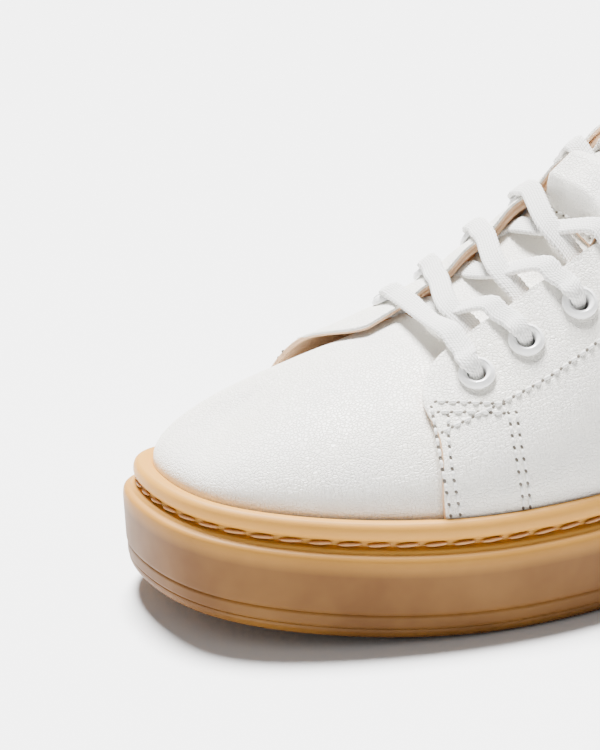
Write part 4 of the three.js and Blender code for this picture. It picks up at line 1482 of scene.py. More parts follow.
@dataclass(frozen=True)
class Eyestay:
    """Where the eyelets sit, and the places on the leather round them."""

    pairs: int = 6
    first: float = 87.5
    first_pitch: float = 14.3
    pitch: float = 16.3
    from_edge: float = 12.0
    flange: float = 5.0
    bore: float = 2.5
    leather_top: float = 1.7
    steps: int = 56
    samples: int = 400

    def station(self, i: int) -> float:
        """Station of eyelet i, counted from the toe."""
        return self.first + (self.first_pitch + self.pitch * (i - 1) if i > 0 else 0)

    def place(self, station: Array, side: float, from_edge: Array | float) -> Pair:
        """Parameters of a point a distance down from the eyestay's edge, walked along the section.

        Args:
            station: crest stations.
            side: 1 outer, -1 inner.
            from_edge: the distance down.

        Returns:
            The parameters t and v.
        """
        station = np.atleast_1d(np.asarray(station, float))
        t = LAST.parameter(station - (LAST.crest_station(station) - station) * 0.7, side)
        v = np.linspace(1, 0, self.samples)
        section = LAST.quarter_section(t)[:, None]
        line = LAST.bezier(section, v[None, :])
        steps = np.linalg.norm(np.diff(line, axis=1), axis=-1)
        walked = np.concatenate([np.zeros((len(t), 1)), np.cumsum(steps, axis=1)], axis=1)
        wanted = np.broadcast_to(np.asarray(from_edge, float), station.shape)
        found = np.array([np.interp(w, row, v) for w, row in zip(wanted, walked)])
        return t, found

    def frame(self, i: int, side: Side) -> Pair:
        """Centre of eyelet i on the base surface, and its outward normal."""
        t, v = self.place(self.station(i), side.value, self.from_edge)
        centre, normal = LAST.skin(LAST.quarter, t, v)
        return centre[0], normal[0]

    def all_frames(self, side: Side) -> Pair:
        """Centres and normals of a side's eyelets."""
        frames = [self.frame(i, side) for i in range(self.pairs)]
        return np.array([c for c, _ in frames]), np.array([n for _, n in frames])

    def ring(self) -> Array:
        """Section of a rolled eyelet: a round rim, a dished bore and a washer underneath.

        Returns:
            Pairs of radius and height over the base surface.
        """
        seat = self.leather_top + 0.02
        rows = [
            (self.bore, -3.0, 0.2), (self.bore, seat + 0.5, 0.5), (self.bore + 0.35, seat + 1.25, 0.45),
            (self.bore + 1.3, seat + 1.75, 0.6), (self.flange - 0.75, seat + 1.45, 0.6),
            (self.flange, seat + 0.75, 0.45), (self.flange, seat, 0.2), (self.bore + 0.6, seat, 0.2),
            (self.bore + 0.6, -2.9, 0.2), (self.bore + 1.4, -3.1, 0.2), (self.bore + 1.3, -3.6, 0.2),
            (self.bore, -3.5, 0.2), (self.bore, -3.0, 0.1),
        ]
        return filleted(rows, 3)[1:-1]

    def build(self) -> None:
        """Builds the eyelets as lathed rings."""
        for side in Side:
            for i in range(self.pairs):
                centre, normal = self.frame(i, side)
                label = f"{side.word}_{i + 1}"
                shape = lathe(self.ring(), self.steps, centre, normal)
                piece = build_mesh(f"eyelet_ring_{label}", *shape)
                finish_piece(piece, Finish.ENAMEL, (f"eyelet_{label}",))


EYESTAY = Eyestay()


@dataclass(frozen=True)
class Lace:
    """Flat woven lace that runs through every eyelet, with an aglet inside at each end."""

    width: float = 6.2
    thickness: float = 1.8
    pinched: float = 4.3
    over: float = 2.9
    under: float = -3.05
    drift: float = 5.5
    keeper_level: int = 3
    spacing: float = 0.45
    sides: int = 28
    weave: float = 0.13
    thread_pitch: float = 1.9
    rib_pitch: float = 1.35
    per_span: int = 12
    calm: int = 6

    def through(self, i: int, side: float) -> list[tuple]:
        """The lace at one eyelet as (point, width, direction along the leather) rows.

        Args:
            i: the eyelet, counted from the toe.
            side: 1 outer, -1 inner.

        Returns:
            The rows, from above the leather to underneath.
        """
        centre, normal = EYESTAY.frame(i, Side(int(side)))
        inward = np.array([-side, 0.0, 0.0])
        inward = unit(inward - normal * inward.dot(normal))
        along = np.cross(normal, inward) * -side

        def spot(towards_edge: float, height: float, width: float) -> tuple:
            """A place beside the eyelet's axis."""
            return centre + inward * towards_edge + normal * height, width, along

        def along_at(t: float, v: float) -> Array:
            """Direction along the leather."""
            return unit(LAST.quarter(t + side * 0.006, v) - LAST.quarter(t - side * 0.006, v))

        def on_leather(from_edge: float, height: float, shift: float) -> tuple:
            """A place on the leather, a distance from the eyestay's edge."""
            t, v = EYESTAY.place(EYESTAY.station(i) + shift, side, from_edge)
            return LAST.offset(LAST.quarter, t, v, height)[0], self.width, along_at(t[0], v[0])

        def off_edge(height: float, shift: float) -> tuple:
            """A place just past the edge.

            Args:
                height: distance off the base surface.
                shift: distance along the shoe.

            Returns:
                The row.
            """
            t = EYESTAY.place(EYESTAY.station(i) + shift, side, 0.0)[0][0]
            section = LAST.quarter_section(t)
            past = unit(section[3] - section[2]) * 3.4
            return LAST.offset(LAST.quarter, t, 0.999, height) + past, self.width, along_at(t, 1.0)

        back = -self.drift * 0.55 if i > 0 else 0.0
        above = [
            off_edge(self.over - 0.4, back), on_leather(1, self.over, back * 0.8),
            on_leather(5.0, self.over + 0.5, back * 0.35), spot(4.0, 4.4, 5.9), spot(1.8, 4.0, 5.0),
            spot(0.5, 2.5, self.pinched), spot(0, 0.2, self.pinched), spot(0.1, -2.2, self.pinched),
        ]
        if i < EYESTAY.pairs - 1:
            return above + [spot(2.2, self.under - 0.3, 5.0),
                            on_leather(6.5, self.under, self.drift * 0.5),
                            on_leather(1, self.under, self.drift),
                            off_edge(self.under + 0.2, self.drift)]
        t, v = EYESTAY.place(EYESTAY.station(i), side, EYESTAY.from_edge)
        tucked = []
        for share, deeper in ((0.88, 0.9), (0.76, 1.8), (0.64, 2.7), (0.54, 3.7)):
            point = LAST.offset(LAST.quarter, t, v * share, self.under - deeper)[0]
            tucked.append((point, self.pinched, along_at(t[0], v[0] * share)))
        return above + [spot(-1.8, self.under - 0.7, self.pinched)] + tucked

    def crossing(self, i: int, side: float, on_top: bool) -> list[tuple]:
        """The strand over the tongue between pairs i and i + 1, in the order met from a side.

        Args:
            i: the pair in front.
            side: the side that it is met from.
            on_top: whether it lies over the other strand.

        Returns:
            The rows.
        """
        low, high = EYESTAY.station(i), EYESTAY.station(i + 1)

        def strand(x: float, share: float, height: float) -> tuple:
            """A place on the strand."""
            station = mix(low, high, share)
            along = unit(LAST.over_foot(station + 2, x, 0.0) - LAST.over_foot(station - 2, x, 0.0))
            return LAST.over_foot(station, x, height), self.width, along

        rising = 0.24 if on_top else -0.24
        if i != self.keeper_level:
            return [strand(LAST.axis, 0.5, 5.0 if on_top else 2.9)]
        rows = [
            strand(LAST.axis + 9, 0.5 - rising, 3.2 if on_top else 1.2),
            strand(LAST.axis, 0.5, 3.1 if on_top else 0.9),
            strand(LAST.axis - 9, 0.5 + rising, 3.0 if on_top else 1.0),
        ]
        return rows if side > 0 else rows[::-1]

    def route(self) -> tuple[Array, Array, Array]:
        """The whole lace: down from the end inside the outer quarter, across, and up again.

        Returns:
            The points passed, the lace's width at each, and the direction of its width.
        """
        down, side = [], 1.0
        for i in range(EYESTAY.pairs - 1, -1, -1):
            down += self.through(i, side)[::-1]
            if i > 0:
                down += self.crossing(i - 1, side, side < 0)
            side = -side
        up, side = [], 1.0
        for i in range(EYESTAY.pairs):
            up += self.through(i, side)
            if i < EYESTAY.pairs - 1:
                up += self.crossing(i, side, side > 0)
            side = -side
        middle = LAST.over_foot(EYESTAY.first + 1, LAST.axis, 4.6)
        rows = down + [(middle, self.width, np.array([0.0, 1.0, 0.0]))] + up
        return tuple(np.array([row[k] for row in rows]) for k in range(3))

    def section(self, half_width: Array) -> Pair:
        """Flat oval: cosine and sine raised to powers under 1, so that its faces are flat.

        Args:
            half_width: half the width at each ring.

        Returns:
            The section's sideways and upward places, shape (rings, sides).
        """
        angle = np.linspace(0, 2 * math.pi, self.sides, endpoint=False)
        flat = np.sign(np.cos(angle)) * np.abs(np.cos(angle)) ** 0.8
        thick = np.sign(np.sin(angle)) * np.abs(np.sin(angle)) ** 0.55
        pinch = np.clip(half_width / (self.width / 2), 0.4, 1)
        height = (self.thickness / 2) * thick[None, :] * (1.25 - 0.25 * pinch[:, None])
        return half_width[:, None] * flat[None, :], height

    def build(self) -> None:
        """Builds the lace and its aglets."""
        points, widths, axes = self.route()
        smooth = catmull_rom(points, self.per_span)
        index, _ = along_path(smooth, self.spacing)
        path = at_index(smooth, index)
        tangent = unit(np.gradient(path, axis=0))
        width = at_index(widths[:, None], index / self.per_span)[:, 0]
        axis = at_index(axes, index / self.per_span)
        kernel = np.ones(2 * self.calm + 1) / (2 * self.calm + 1)
        padded = np.pad(axis, ((self.calm, self.calm), (0, 0)), mode="edge")
        axis = np.stack([np.convolve(padded[:, k], kernel, mode="valid") for k in range(3)], axis=-1)
        across = unit(axis - tangent * np.einsum("ij,ij->i", axis, tangent)[:, None])
        thick = np.cross(tangent, across)
        sideways, height = self.section(width / 2)
        walked = np.arange(len(path))[:, None] * self.spacing
        chevron = np.sin(2 * math.pi * (walked / self.thread_pitch + np.abs(sideways) / 2.4))
        rib = np.cos(2 * math.pi * sideways / self.rib_pitch)
        relief = self.weave * (chevron * 0.6 + rib * 0.4)
        height = height + np.sign(height) * relief * (np.abs(height) > 0.3)
        picot = 0.14 * np.sin(2 * math.pi * walked / self.thread_pitch) * (np.abs(height) < 0.6)
        sideways = sideways + np.sign(sideways) * picot
        rings = (path[:, None] + across[:, None] * sideways[..., None]
                 + thick[:, None] * height[..., None])
        points, faces = tube(rings)
        place = np.stack([walked + 0 * sideways, sideways, 0 * sideways], axis=-1).reshape(-1, 3)
        place = np.concatenate([place, np.zeros((2, 3))])
        piece = build_mesh("woven_lace", points, faces, {"weave": place}, crease=85)
        finish_piece(piece, Finish.COTTON, ("lace",))
        dress_node("aglet_lateral", Finish.FILM)
        dress_node("aglet_medial", Finish.FILM)


# ------ the upper

@dataclass(frozen=True)
class Upper:
    """Leather, lining and padding that stand in the cup."""

    vamp: tuple = (-1.6, -0.2)
    vamp_lining: tuple = (-5.3, -4.4)
    quarter: tuple = (0.15, 1.7)
    lining: tuple = (-1.9, 0.05)
    outer_front: float = 65.0
    inner_front: float = 53.0
    slant: float = 4.5
    corner: float = 13.0
    pad_depth: float = 5.2
    pad_low: float = 0.42
    collar_top: float = 0.985
    collar_front: float = 186.0
    edge_radius: float = 0.7
    hole_room: float = 1.6
    pucker: float = 0.32
    ripple: float = 0.55
    tab_foot: float = 0.52
    tab_layer: tuple = (1.75, 2.95)
    seam: Thread = Thread(pitch=3.2, radius=0.5, share=0.76, rise=0.3, hole=0.5)

    # -- layers

    def front_edge(self, v: Array, side: float) -> Array:
        """Station of a quarter's front edge at height v, its top corner a quarter round.

        Args:
            v: heights.
            side: 1 outer, -1 inner.

        Returns:
            Stations.
        """
        start = self.outer_front if side > 0 else self.inner_front
        bend = np.clip((np.clip(v, 0, 1) - 0.74) / 0.26, 0, 1)
        round_off = self.corner * (1 - np.sqrt(np.maximum(1 - bend * bend, 0)))
        return start + self.slant * ease(v, 0.1, 0.65) + round_off

    def forefoot_layer(self, layer: tuple, side_station: float, throat: float, rows: int,
                       columns: int) -> Pair:
        """Nets of a layer over the toe: rows from the toe tip back, columns from side to side.

        Height v is 1 less |a| to the power 1.15, with a from -1 on the outer side to 1 on the
        inner side, and t grows as the power 0.85 of the row.

        Args:
            layer: distances of its two faces from the base surface.
            side_station: where it ends at the sides.
            throat: where it ends at the crest.
            rows: rows from the toe tip.
            columns: points in a row.

        Returns:
            The outer and inner nets.
        """
        u = np.linspace(0, 1, rows)[:, None]
        across = np.linspace(-1, 1, columns)[None, :]
        v = mix(-1.0, 1.0, 1 - np.abs(across) ** 1.15)
        side = np.where(across < 0, 1.0, -1.0)
        reach = LAST.half_at(mix(side_station, throat, ease(v, 0.2, 0.6)), side)
        t = u ** 0.85 * reach * side
        v = np.broadcast_to(np.minimum(v, 0.9999), t.shape)
        base, normal = LAST.skin(LAST.forefoot, t, v)
        behind = np.linalg.norm(base[-1:] - base, axis=-1)
        half = (layer[1] - layer[0]) / 2
        fall = round_edge(behind, half)[..., None]
        skive = half * 1.2 * (1 - ease(behind, 0, 9))[..., None] * (1 - fall / half)
        return base + normal * (layer[1] - fall - skive), base + normal * (layer[0] + fall)

    def quarter_nets(self, layer: tuple, side: float, front: Curve,
                     back: float | None, rows: int, v: Array) -> tuple:
        """Nets of one quarter's layer, its rounded borders and its eyelet holes.

        Args:
            layer: distances of its two faces from the base surface.
            side: 1 for the outer quarter, -1 for the inner one.
            front: station of the front edge at a height.
            back: station where it ends, or None for the heel seam.
            rows: how many rows from front to back.
            v: heights of the columns.

        Returns:
            Outer net, inner net, kept quads and distance from the raw front edge.
        """
        u = bordered(rows, 230.0, self.edge_radius)[:, None]
        start = LAST.half_at(front(v), side)[None, :]
        end = 0.5 if back is None else LAST.half_at(back, side)
        half = mix(start, end, u)
        t = half if side > 0 else 1 - half
        heights = np.broadcast_to(v[None, :], t.shape)
        base, normal = LAST.skin(LAST.quarter, t, heights)
        step_u = np.linalg.norm(np.diff(base, axis=0), axis=-1)
        step_v = np.linalg.norm(np.diff(base, axis=1), axis=-1)
        from_front = np.concatenate([np.zeros((1, t.shape[1])), np.cumsum(step_u, axis=0)])
        downward = np.cumsum(step_v[:, ::-1], axis=1)[:, ::-1]
        from_top = np.concatenate([downward, np.zeros((t.shape[0], 1))], axis=1)
        border = np.minimum(from_front, from_top)
        radius = (layer[1] - layer[0]) / 2
        fall = round_edge(border, radius)
        centres, _ = EYESTAY.all_frames(Side(int(side)))
        gaps = np.linalg.norm(base[:, :, None] - centres[None, None], axis=-1)
        dents = np.exp(-((gaps - EYESTAY.flange - 0.3) / 1.5) ** 2).sum(axis=-1)
        pucker = -self.pucker * dents
        station = base[..., 1] + LAST.length / 2
        wave = np.cos(2 * math.pi * (station - EYESTAY.station(1)) / EYESTAY.pitch)
        fade = ease(station, 84, 96) * (1 - ease(station, 170, 182))
        ripple = -self.ripple * wave * np.exp(-from_top / 6.0) * fade
        shift = pucker + ripple
        outer = base + normal * (layer[1] - fall + shift)[..., None]
        inner = base + normal * (layer[0] + fall + ripple)[..., None]
        middle = (outer[1:, 1:] + outer[:-1, :-1]) / 2
        across = np.linalg.norm(middle[:, :, None] - centres[None, None], axis=-1)
        keep = (across > EYESTAY.bore + self.hole_room).all(axis=-1)
        cut_edge = mix(from_front, np.maximum(from_front, 1.0), ease(heights, 0.62, 0.8))
        return outer, inner, keep, cut_edge

    def sewn(self, name: str, rows: list[Pair]) -> None:
        """Stitches and painted needle-hole shade of several seam rows, as one piece each.

        Args:
            name: first part of their names.
            rows: paths with their normals.
        """
        for word, draw, finish, slot in (
                ("stitches", self.seam.stitches, Finish.SEAM_THREAD, "white_cotton"),
                # the second row is painted shade at the needle holes
                ("needle_hole_shadows", self.seam.holes, Finish.NEEDLE_HOLE_SHADOW, "sole_thread")):
            shape = joined([draw(path, normals) for path, normals in rows])
            finish_piece(build_mesh(f"{name}_{word}", *shape, crease=85), finish)

    def on_quarter(self, rows: list[tuple[float, float]], side: float) -> Pair:
        """Seam row on a quarter through (station, height) places.

        Args:
            rows: the places passed.
            side: 1 outer, -1 inner.

        Returns:
            The path and its normals.
        """
        table = np.array([(s, z, 0.0) for s, z in rows])
        line = catmull_rom(table, 24)
        t, v = LAST.quarter_place(line[:, 0], line[:, 1], side)
        return self.seam_on(t, v)

    def seam_on(self, t: Array, v: Array) -> Pair:
        """Seam path on the quarter's face, with normals, through parameters."""
        base, normal = LAST.skin(LAST.quarter, t, v)
        return base + normal * (self.quarter[1] + SEAM_LIFT), normal

    # -- pieces

    def toe(self) -> None:
        """Vamp and its lining."""
        nets = self.forefoot_layer(self.vamp, 102, 86, 134, 171)
        piece = build_mesh("vamp_leather", *slab(*nets, fold=True))
        finish_piece(piece, Finish.WHITE_LEATHER, ("vamp",))
        nets = self.forefoot_layer(self.vamp_lining, 94, 73, 60, 91)
        piece = build_mesh("vamp_lining_leather", *slab(*nets, fold=True))
        finish_piece(piece, Finish.TAN_LEATHER, ("vamp_lining",))
        dress_node("toe_puff", Finish.STIFFENER)

    def quarters(self, side: Side) -> None:
        """One side's leather quarter and its lining, with their seams.

        Args:
            side: the side.
        """
        s = float(side.value)
        tucked = np.linspace(-0.7, 0, 7)[:-1]
        heights = np.concatenate([tucked, np.linspace(0, 1, 84)[:-5],
                                  1 - np.geomspace(0.04, 0.0008, 9)])
        outer, inner, keep, border = self.quarter_nets(
            self.quarter, s, lambda v: self.front_edge(v, s), None, 210, heights)
        shape = self.marked_slab(outer, inner, border, 0.32, keep)
        piece = build_mesh(f"quarter_leather_{side.word}", *shape)
        finish_piece(piece, Finish.WHITE_LEATHER, (f"quarter_{side.word}",))
        low = np.concatenate([np.linspace(-1, 0, 5)[:-1], np.linspace(0, 0.985, 60)])
        outer, inner, keep, _ = self.quarter_nets(
            self.lining, s, lambda v: mix(104.0, 92.0, ease(v, 0.2, 0.6)), 188.0, 90, low)
        piece = build_mesh(f"quarter_lining_leather_{side.word}", *slab(outer, inner, keep))
        nodes = (f"quarter_lining_{side.word}", f"eyestay_reinforcement_{side.word}")
        finish_piece(piece, Finish.TAN_LEATHER, nodes)
        self.sewn(f"quarter_{side.word}", self.quarter_seams(s))

    @staticmethod
    def marked_slab(outer: Array, inner: Array, border: Array, cut_width: float = 0.2,
                    keep: Array | None = None) -> tuple:
        """Slab with its raw-edge marks, as the arguments that build_mesh takes.

        The outer face is raw within cut_width of a cut border, and the inner face all over.

        Args:
            outer: net of the outer face.
            inner: net of the inner face.
            border: distance of each point from the cut border.
            cut_width: how far the cut edge's colour reaches.
            keep: which quads are kept, or None for all.

        Returns:
            The points, the face arrays and the marks.
        """
        raw = np.concatenate([(border < cut_width).astype(float).ravel(), np.ones(border.size)])
        both = np.concatenate([outer, inner], axis=0)
        tagged = np.concatenate([both, raw.reshape(both.shape[0], both.shape[1], 1)], axis=-1)
        half = outer.shape[0]
        points, faces = slab(tagged[:half], tagged[half:], keep)
        return points[:, :3], faces, {"raw": points[:, 3]}

    def quarter_seams(self, s: float) -> list[Pair]:
        """Seam rows of a quarter: front edge, cross row, stay row and rear curve.

        Args:
            s: 1 outer, -1 inner.

        Returns:
            Paths with their normals.
        """
        start = 0.0 if s > 0 else -12.0
        if s > 0:
            rows = [
                self.on_quarter([(71.3, 55.4), (68.8, 50), (66.9, 43.6), (66.3, 37), (66.6, 32.2)], s),
                self.on_quarter([(74.0, 53.6), (71.3, 49), (69.3, 43.2), (68.7, 37), (69.0, 32.2)], s),
            ]
        else:
            v = np.linspace(0.03, 0.62, 90)
            rows = [self.seam_on(LAST.parameter(self.front_edge(v, s) + back, s), v)
                    for back in (2.4, 4.7)]
        for drop in (0.0, 2.0):
            rows.append(self.on_quarter([(73 + start - drop * 0.4, 56.4 - drop),
                                         (80 + start, 56.2 - drop),
                                         (88.5 - drop * 0.5, 55.6 - drop)], s))
            rows.append(self.on_quarter([(88.6 + drop, 53.6), (86.9 + drop, 47), (86.0 + drop, 39),
                                         (86.0 + drop, 31.5)], s))
        rows.append(self.on_quarter([(70.5 + start, 50.4), (88, 55.8), (102.5, 60.6), (118.5, 67.2),
                                     (140, 76.5), (160, 84.5), (174, 88.0)], s))
        t = mix(LAST.parameter(190.0, s), 0.5, np.linspace(0, 0.9, 160))
        rows.append(self.seam_on(t, 1 - 0.075 * ease(t if s > 0 else 1 - t, 0, 0.36)))
        return rows

    # -- the ankle

    def pad_swell(self, v: Array, u: Array) -> Array:
        """Fullness of the collar pad: smooth steps at its lower, upper and side borders."""
        return (ease(v, self.pad_low, 0.72) * (1 - ease(v, 0.93, 1) * 0.6)
                * ease(u, 0, 0.14) * ease(1 - u, 0, 0.14))

    def ankle_nets(self, rows: int, v: Array, near: Callable, far: Callable,
                   front: float) -> Pair:
        """Nets round the ankle from a station on the outer side to the same on the inner side.

        Args:
            rows: how many rows round the heel.
            v: heights of the columns.
            near: distance of the outer face from the base, as a function of (v, u).
            far: distance of the inner face.
            front: station where the layer starts and ends.

        Returns:
            The outer and inner nets.
        """
        u = np.linspace(0, 1, rows)[:, None]
        outer_end = LAST.parameter(front, 1.0)
        inner_end = LAST.parameter(front, -1.0)
        t = np.broadcast_to(mix(outer_end, inner_end, u), (rows, len(v)))
        heights = np.broadcast_to(v[None, :], t.shape)
        base, normal = LAST.skin(LAST.quarter, t, heights)
        return base + normal * near(heights, u)[..., None], base + normal * far(heights, u)[..., None]

    def collar(self) -> None:
        """Collar pad, its lining, and the rolled leather edge over them."""
        v = np.linspace(self.pad_low, self.collar_top, 40)
        outer, inner = self.ankle_nets(
            150, v, lambda h, u: -2.0 + 0 * h + 0 * u,
            lambda h, u: -3.0 - self.pad_depth * self.pad_swell(h, u), self.collar_front)
        piece = build_mesh("collar_padding", *slab(outer, inner))
        finish_piece(piece, Finish.FOAM, ("collar_foam",))
        v = np.concatenate([np.linspace(-1, 0, 6)[:-1], np.linspace(0, self.collar_top, 70)])
        outer, inner = self.ankle_nets(
            200, v, lambda h, u: -3.05 - self.pad_depth * self.pad_swell(h, u),
            lambda h, u: -4.05 - self.pad_depth * self.pad_swell(h, u)
            + 0.5 * np.exp(-((h - self.pad_low - 0.02) / 0.02) ** 2), self.collar_front - 1.5)
        piece = build_mesh("collar_lining_leather", *slab(outer, inner))
        finish_piece(piece, Finish.TAN_LEATHER, ("collar_lining",))
        self.rolled_edge()
        dress_node("heel_counter", Finish.STIFFENER)

    def rolled_edge(self) -> None:
        """Leather rolled over the collar's top: an oval from the outer face to the lining.

        Around the collar an ellipse spans the layers; its upper half stands over the edge and
        its lower half is sunk between them.
        """
        rows, sides = 220, 28
        u = np.linspace(0, 1, rows)
        front = self.collar_front - 4
        t = mix(LAST.parameter(front, 1.0), LAST.parameter(front, -1.0), u)
        v = np.full_like(t, 0.985)
        base, normal = LAST.skin(LAST.quarter, t, v)
        upward = unit(LAST.quarter(t, v) - LAST.quarter(t, v - 0.02))
        depth = 4.0 + self.pad_depth * self.pad_swell(v, u)
        outer, inner = self.quarter[1] + 0.12, -depth
        middle, half = (outer + inner) / 2, (outer - inner) / 2
        angle = np.linspace(0, 2 * math.pi, sides, endpoint=False)
        shoulder = np.sign(np.sin(angle)) * np.abs(np.sin(angle)) ** 0.8
        ends = np.sqrt(np.clip(np.minimum(u, 1 - u) / 0.02, 0.05, 1))
        narrowing = 0.5 + 0.5 * ends[:, None]
        sideways = middle[:, None] + half[:, None] * np.cos(angle)[None, :] * narrowing
        height = np.where(shoulder > 0, 2.1, 1.4)[None, :] * shoulder[None, :] * ends[:, None] - 0.3
        rings = (base[:, None] + normal[:, None] * sideways[..., None]
                 + upward[:, None] * height[..., None])
        piece = build_mesh("collar_rolled_edge", *tube(rings))
        finish_piece(piece, Finish.WHITE_LEATHER)

    def heel_tab(self) -> None:
        """Leather patch over the heel seam, narrower at its foot, with a row of stitches."""
        foot, radius = self.tab_foot, 0.5
        v = np.concatenate([[foot], foot + bordered(50, 26.0, radius)[1:-1] * 0.475, [0.995]])
        u = bordered(60, 30.0, radius)[:, None]
        half = LAST.half_at(284.0, 1.0) * np.ones_like(v)
        width = (0.5 - half) * mix(0.62, 1.0, ease(v, foot, 0.98))
        t = 0.5 + width[None, :] * (2 * u - 1)
        heights = np.broadcast_to(v[None, :], t.shape)
        base, normal = LAST.skin(LAST.quarter, t, heights)
        span = np.linalg.norm(base[-1] - base[0], axis=-1)[None, :]
        border = np.minimum(np.minimum(u, 1 - u) * span, (heights - foot) * 55.0)
        fall = round_edge(border, radius)[..., None]
        outer = base + normal * (self.tab_layer[1] - fall)
        inner = base + normal * (self.tab_layer[0] + 0 * fall)
        piece = build_mesh("heel_tab_leather", *self.marked_slab(outer, inner, border))
        finish_piece(piece, Finish.WHITE_LEATHER, ("heel_tab",))
        inset = np.concatenate([np.full(60, -1.0), np.linspace(-1, 1, 40), np.full(60, 1.0)])
        down = np.linspace(0.96, foot + 0.04, 60)
        level = np.concatenate([down, np.full(40, foot + 0.04), down[::-1]])
        reach = np.interp(level, v, width) * 0.84
        t = 0.5 + reach * inset
        base, normal = LAST.skin(LAST.quarter, t, level)
        self.sewn("heel_tab", [(base + normal * 2.98, normal)])

    def build(self) -> None:
        """Builds the upper's pieces."""
        self.toe()
        for side in Side:
            self.quarters(side)
        self.collar()
        self.heel_tab()


@dataclass(frozen=True)
class Tongue:
    """Padded tongue, its sides drooping towards its top, and the lace keeper sewn on it."""

    front: float = 79.0
    top: float = 190.0
    half_width: float = 26.0
    front_half_width: float = 15.0
    leather: tuple = (-5.6, -4.2)
    foam: tuple = (-8.9, -5.7)
    lining: tuple = (-9.9, -8.85)
    front_rise: float = 2.45
    crown: float = 1.7
    droop: float = 1.6
    keeper_front: float = 131.0
    keeper_back: float = 152.0
    keeper_half_width: float = 11.0
    keeper_lift: float = 8.6
    keeper_thickness: float = 1.3

    def point(self, station: Array, across: Array, distance: Array) -> Array:
        """Point on the tongue: a share of its half width across, at a station.

        It widens by a smooth step from the front and narrows a little to the top.

        Args:
            station: stations.
            across: from -1 on the inner side to 1.
            distance: distance off the base surface.

        Returns:
            Points of shape (..., 3).
        """
        widening = ease(station, self.front, 108) - 0.25 * ease(station, 150, self.top)
        spread = mix(self.front_half_width, self.half_width, widening)
        return LAST.over_foot(station, LAST.axis + across * spread,
                              distance + self.rise(station, across))

    def rise(self, station: Array, across: Array) -> Array:
        """How far the tongue stands off its even depth.

        Its front meets the vamp, its middle is crowned, and its sides follow the quarters'
        edges; towards the hinge this fades into a plain droop of the sides.

        Args:
            station: stations.
            across: from -1 on the inner side to 1.

        Returns:
            Distances.
        """
        away = np.abs(across)
        front = self.front_rise * (1 - ease(station, 88, 116)) * (1 - ease(away, 0.75, 1.0))
        crown = self.crown * (1 - ease(away, 0, 0.6)) * ease(station, 88, 112)
        edge = LAST.proud(LAST.feather_station(station), across) * np.where(across > 0, 0.6, 0.95)
        sides = edge * ease(away, 0.15, 0.6) * ease(station, 84, 100)
        fade = 1 - ease(station, 150, 174)
        return front + (crown + sides) * fade - self.droop * ease(away, 0.3, 0.7) * (1 - fade)

    def sheet(self, name: str, layer: tuple, finish: Finish, node: str,
              inset: float) -> Piece:
        """One layer of the tongue as one piece on no body, with its placement baked into its points.

        Args:
            name: the piece's name.
            layer: distances of its faces from the base surface.
            finish: its finish.
            node: the node family, such as leather.
            inset: how far its free edges stand back.

        Returns:
            The piece.
        """
        u = bordered(110, 110.0, 0.6)[:, None]
        across = (bordered(48, 50.0, 0.6) * 2 - 1)[None, :] * (1 - inset / 25)
        back = self.top - inset
        station = mix(self.front, back, u)
        corner = 9 * np.abs(across) ** 3 * np.clip((station - 150) / (back - 150), 0, 1) ** 2
        station = station - corner
        across = np.broadcast_to(across, station.shape)
        sides = (1 - np.abs(across) / (1 - inset / 25)) * 24.0
        border = np.minimum(sides, (1 - u) * 110.0)
        fall = round_edge(border, (layer[1] - layer[0]) / 2)
        outer = self.point(station, across, layer[1] - fall)
        inner = self.point(station, across, layer[0] + fall)
        piece = build_mesh(name, *Upper.marked_slab(outer, inner, border))
        finish_piece(piece, finish, (f"tongue_{node}", f"tongue_tip_{node}"), body=None)
        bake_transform(piece)
        return piece

    def bridge(self, u: Array, w: Array, height: Array | float) -> Array:
        """Point of the lace keeper's underside, raised by a height.

        It rises by lift times the square of a times the root of (3 - 2 a), where a is the
        smaller of 1 and 4.6 u (1 - u).

        Args:
            u: 0 in front, 1 behind.
            w: 0 at the inner side, 1 at the outer.
            height: how far it is raised.

        Returns:
            Points of shape (..., 3).
        """
        station = mix(self.keeper_front, self.keeper_back, u) + 0 * w
        across = (2 * w - 1) * self.keeper_half_width / self.half_width + 0 * u
        a = np.clip(4.6 * u * (1 - u), 0, 1)
        arch = self.keeper_lift * a * a * (3 - 2 * a) ** 0.5 + self.leather[1] + 0.1
        arch = arch + self.rise(station, across)
        return LAST.over_foot(station, LAST.axis + across * self.half_width, arch + height)

    def keeper(self) -> None:
        """Leather bridge for the lace: sewn down in front and behind, open at its sides."""
        u = bordered(40, 19.0, 0.5)[:, None]
        w = bordered(40, 20.0, 0.5)[None, :]
        border = np.minimum(np.minimum(u, 1 - u) * 24.0, np.minimum(w, 1 - w) * 20.0)
        fall = round_edge(border, 0.5)
        outer = self.bridge(u, w, self.keeper_thickness - fall)
        inner = self.bridge(u, w, fall * 0.5)
        piece = build_mesh("lace_keeper_leather", *Upper.marked_slab(outer, inner, border))
        finish_piece(piece, Finish.WHITE_LEATHER, ("lace_keeper",))
        w = np.linspace(0.07, 0.93, 80)
        rows = []
        for place in (0.06, 0.94):
            top = self.bridge(place + 0 * w, w, self.keeper_thickness + SEAM_LIFT)
            up = unit(top - self.bridge(place + 0 * w, w, 0.0))
            rows.append((top, up))
        Upper().sewn("lace_keeper", rows)

    def build(self) -> None:
        """Builds the tongue's layers and the keeper."""
        self.sheet("tongue_face", self.leather, Finish.WHITE_LEATHER, "leather", 0.0)
        pad = self.sheet("tongue_padding", self.foam, Finish.FOAM, "foam", 0.9)
        self.sheet("tongue_lining_leather", self.lining, Finish.TAN_LEATHER,
                   "lining", 0.3)
        self.keeper()


# ------ the studio

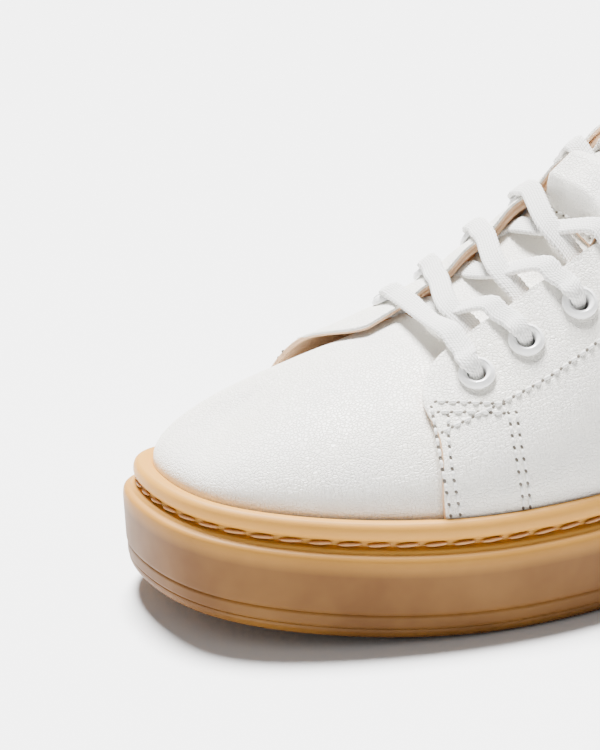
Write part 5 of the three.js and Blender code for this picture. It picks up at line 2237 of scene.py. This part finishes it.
@dataclass(frozen=True)
class Studio:
    """Plain pale floor, soft light and the camera, in the row frame."""

    azimuth: float = 64.0
    elevation: float = 17.0
    distance: float = 490.85
    roll: float = -2.74
    target: tuple = (-0.19, -103.15, 62.48)
    lens: float = 86.4
    sky: float = 0.33

    def camera(self) -> None:
        """Places the camera at its angle round the target, rolled a little."""
        a, e, r = (math.radians(x) for x in (self.azimuth, self.elevation, self.roll))
        back = Vector((math.sin(a) * math.cos(e), -math.cos(a) * math.cos(e), math.sin(e)))
        right = Vector((math.cos(a), math.sin(a), 0.0))
        up = back.cross(right)
        turned_right = right * math.cos(r) + up * math.sin(r)
        turned_up = up * math.cos(r) - right * math.sin(r)
        place = (Vector(self.target) + back * self.distance) * MM
        data = bpy.data.cameras.new("camera")
        data.lens = self.lens
        data.sensor_width = 36.0
        data.clip_start = 0.01
        camera = in_scene("camera", data)
        turn = Matrix((turned_right, turned_up, back)).transposed().to_4x4()
        camera.matrix_world = Matrix.Translation(place) @ turn
        bpy.context.scene.camera = camera

    def floor(self) -> None:
        """Large plain floor."""
        size = 6000.0
        corners = size * np.array([(-1, -1, 0), (1, -1, 0), (1, 1, 0), (-1, 1, 0)], float)
        mesh = bpy.data.meshes.new("floor")
        mesh.from_pydata((corners * MM).tolist(), [], [(0, 1, 2, 3)])
        piece = in_scene("floor", mesh)
        material, graph, shader, _ = start_material("pale_floor")
        graph.feed(shader, {"Base Color": (0.84, 0.84, 0.84, 1), "Roughness": 0.9,
                            "Specular IOR Level": 0.1})
        mesh.materials.append(material)

    def light(self, name: str, place: tuple, spread: float, strength: float) -> None:
        """Distant soft light that comes from the direction of a place, spread over an angle.

        Args:
            name: the light's name.
            place: where it comes from.
            spread: its angle in degrees.
            strength: its strength.
        """
        data = bpy.data.lights.new(name, "SUN")
        data.energy, data.angle = strength, math.radians(spread)
        lamp = in_scene(name, data)
        lamp.location = place
        lamp.rotation_euler = Vector(place).to_track_quat("Z", "Y").to_euler()

    def build(self) -> None:
        """Builds the camera, the floor and the lights."""
        self.camera()
        self.floor()
        world = bpy.data.worlds.new("studio_air")
        bpy.context.scene.world = world
        world.use_nodes = True
        sky = world.node_tree.nodes["Background"]
        sky.inputs["Color"].default_value = (1.0, 1.0, 1.0, 1)
        sky.inputs["Strength"].default_value = self.sky
        self.light("overhead_softbox", (-0.46, 0.14, 1.15), 20.0, 21.5)
        self.light("front_softbox", (-0.2, -1.2, 0.9), 60.0, 0.25)


def main() -> None:
    """Builds the studio and the shoe."""
    logging.basicConfig(level=logging.INFO, format="%(message)s")
    Studio().build()
    Sole().build()
    Insole().build()
    Upper().build()
    Tongue().build()
    EYESTAY.build()
    Lace().build()


if __name__ == "__main__":
    main()
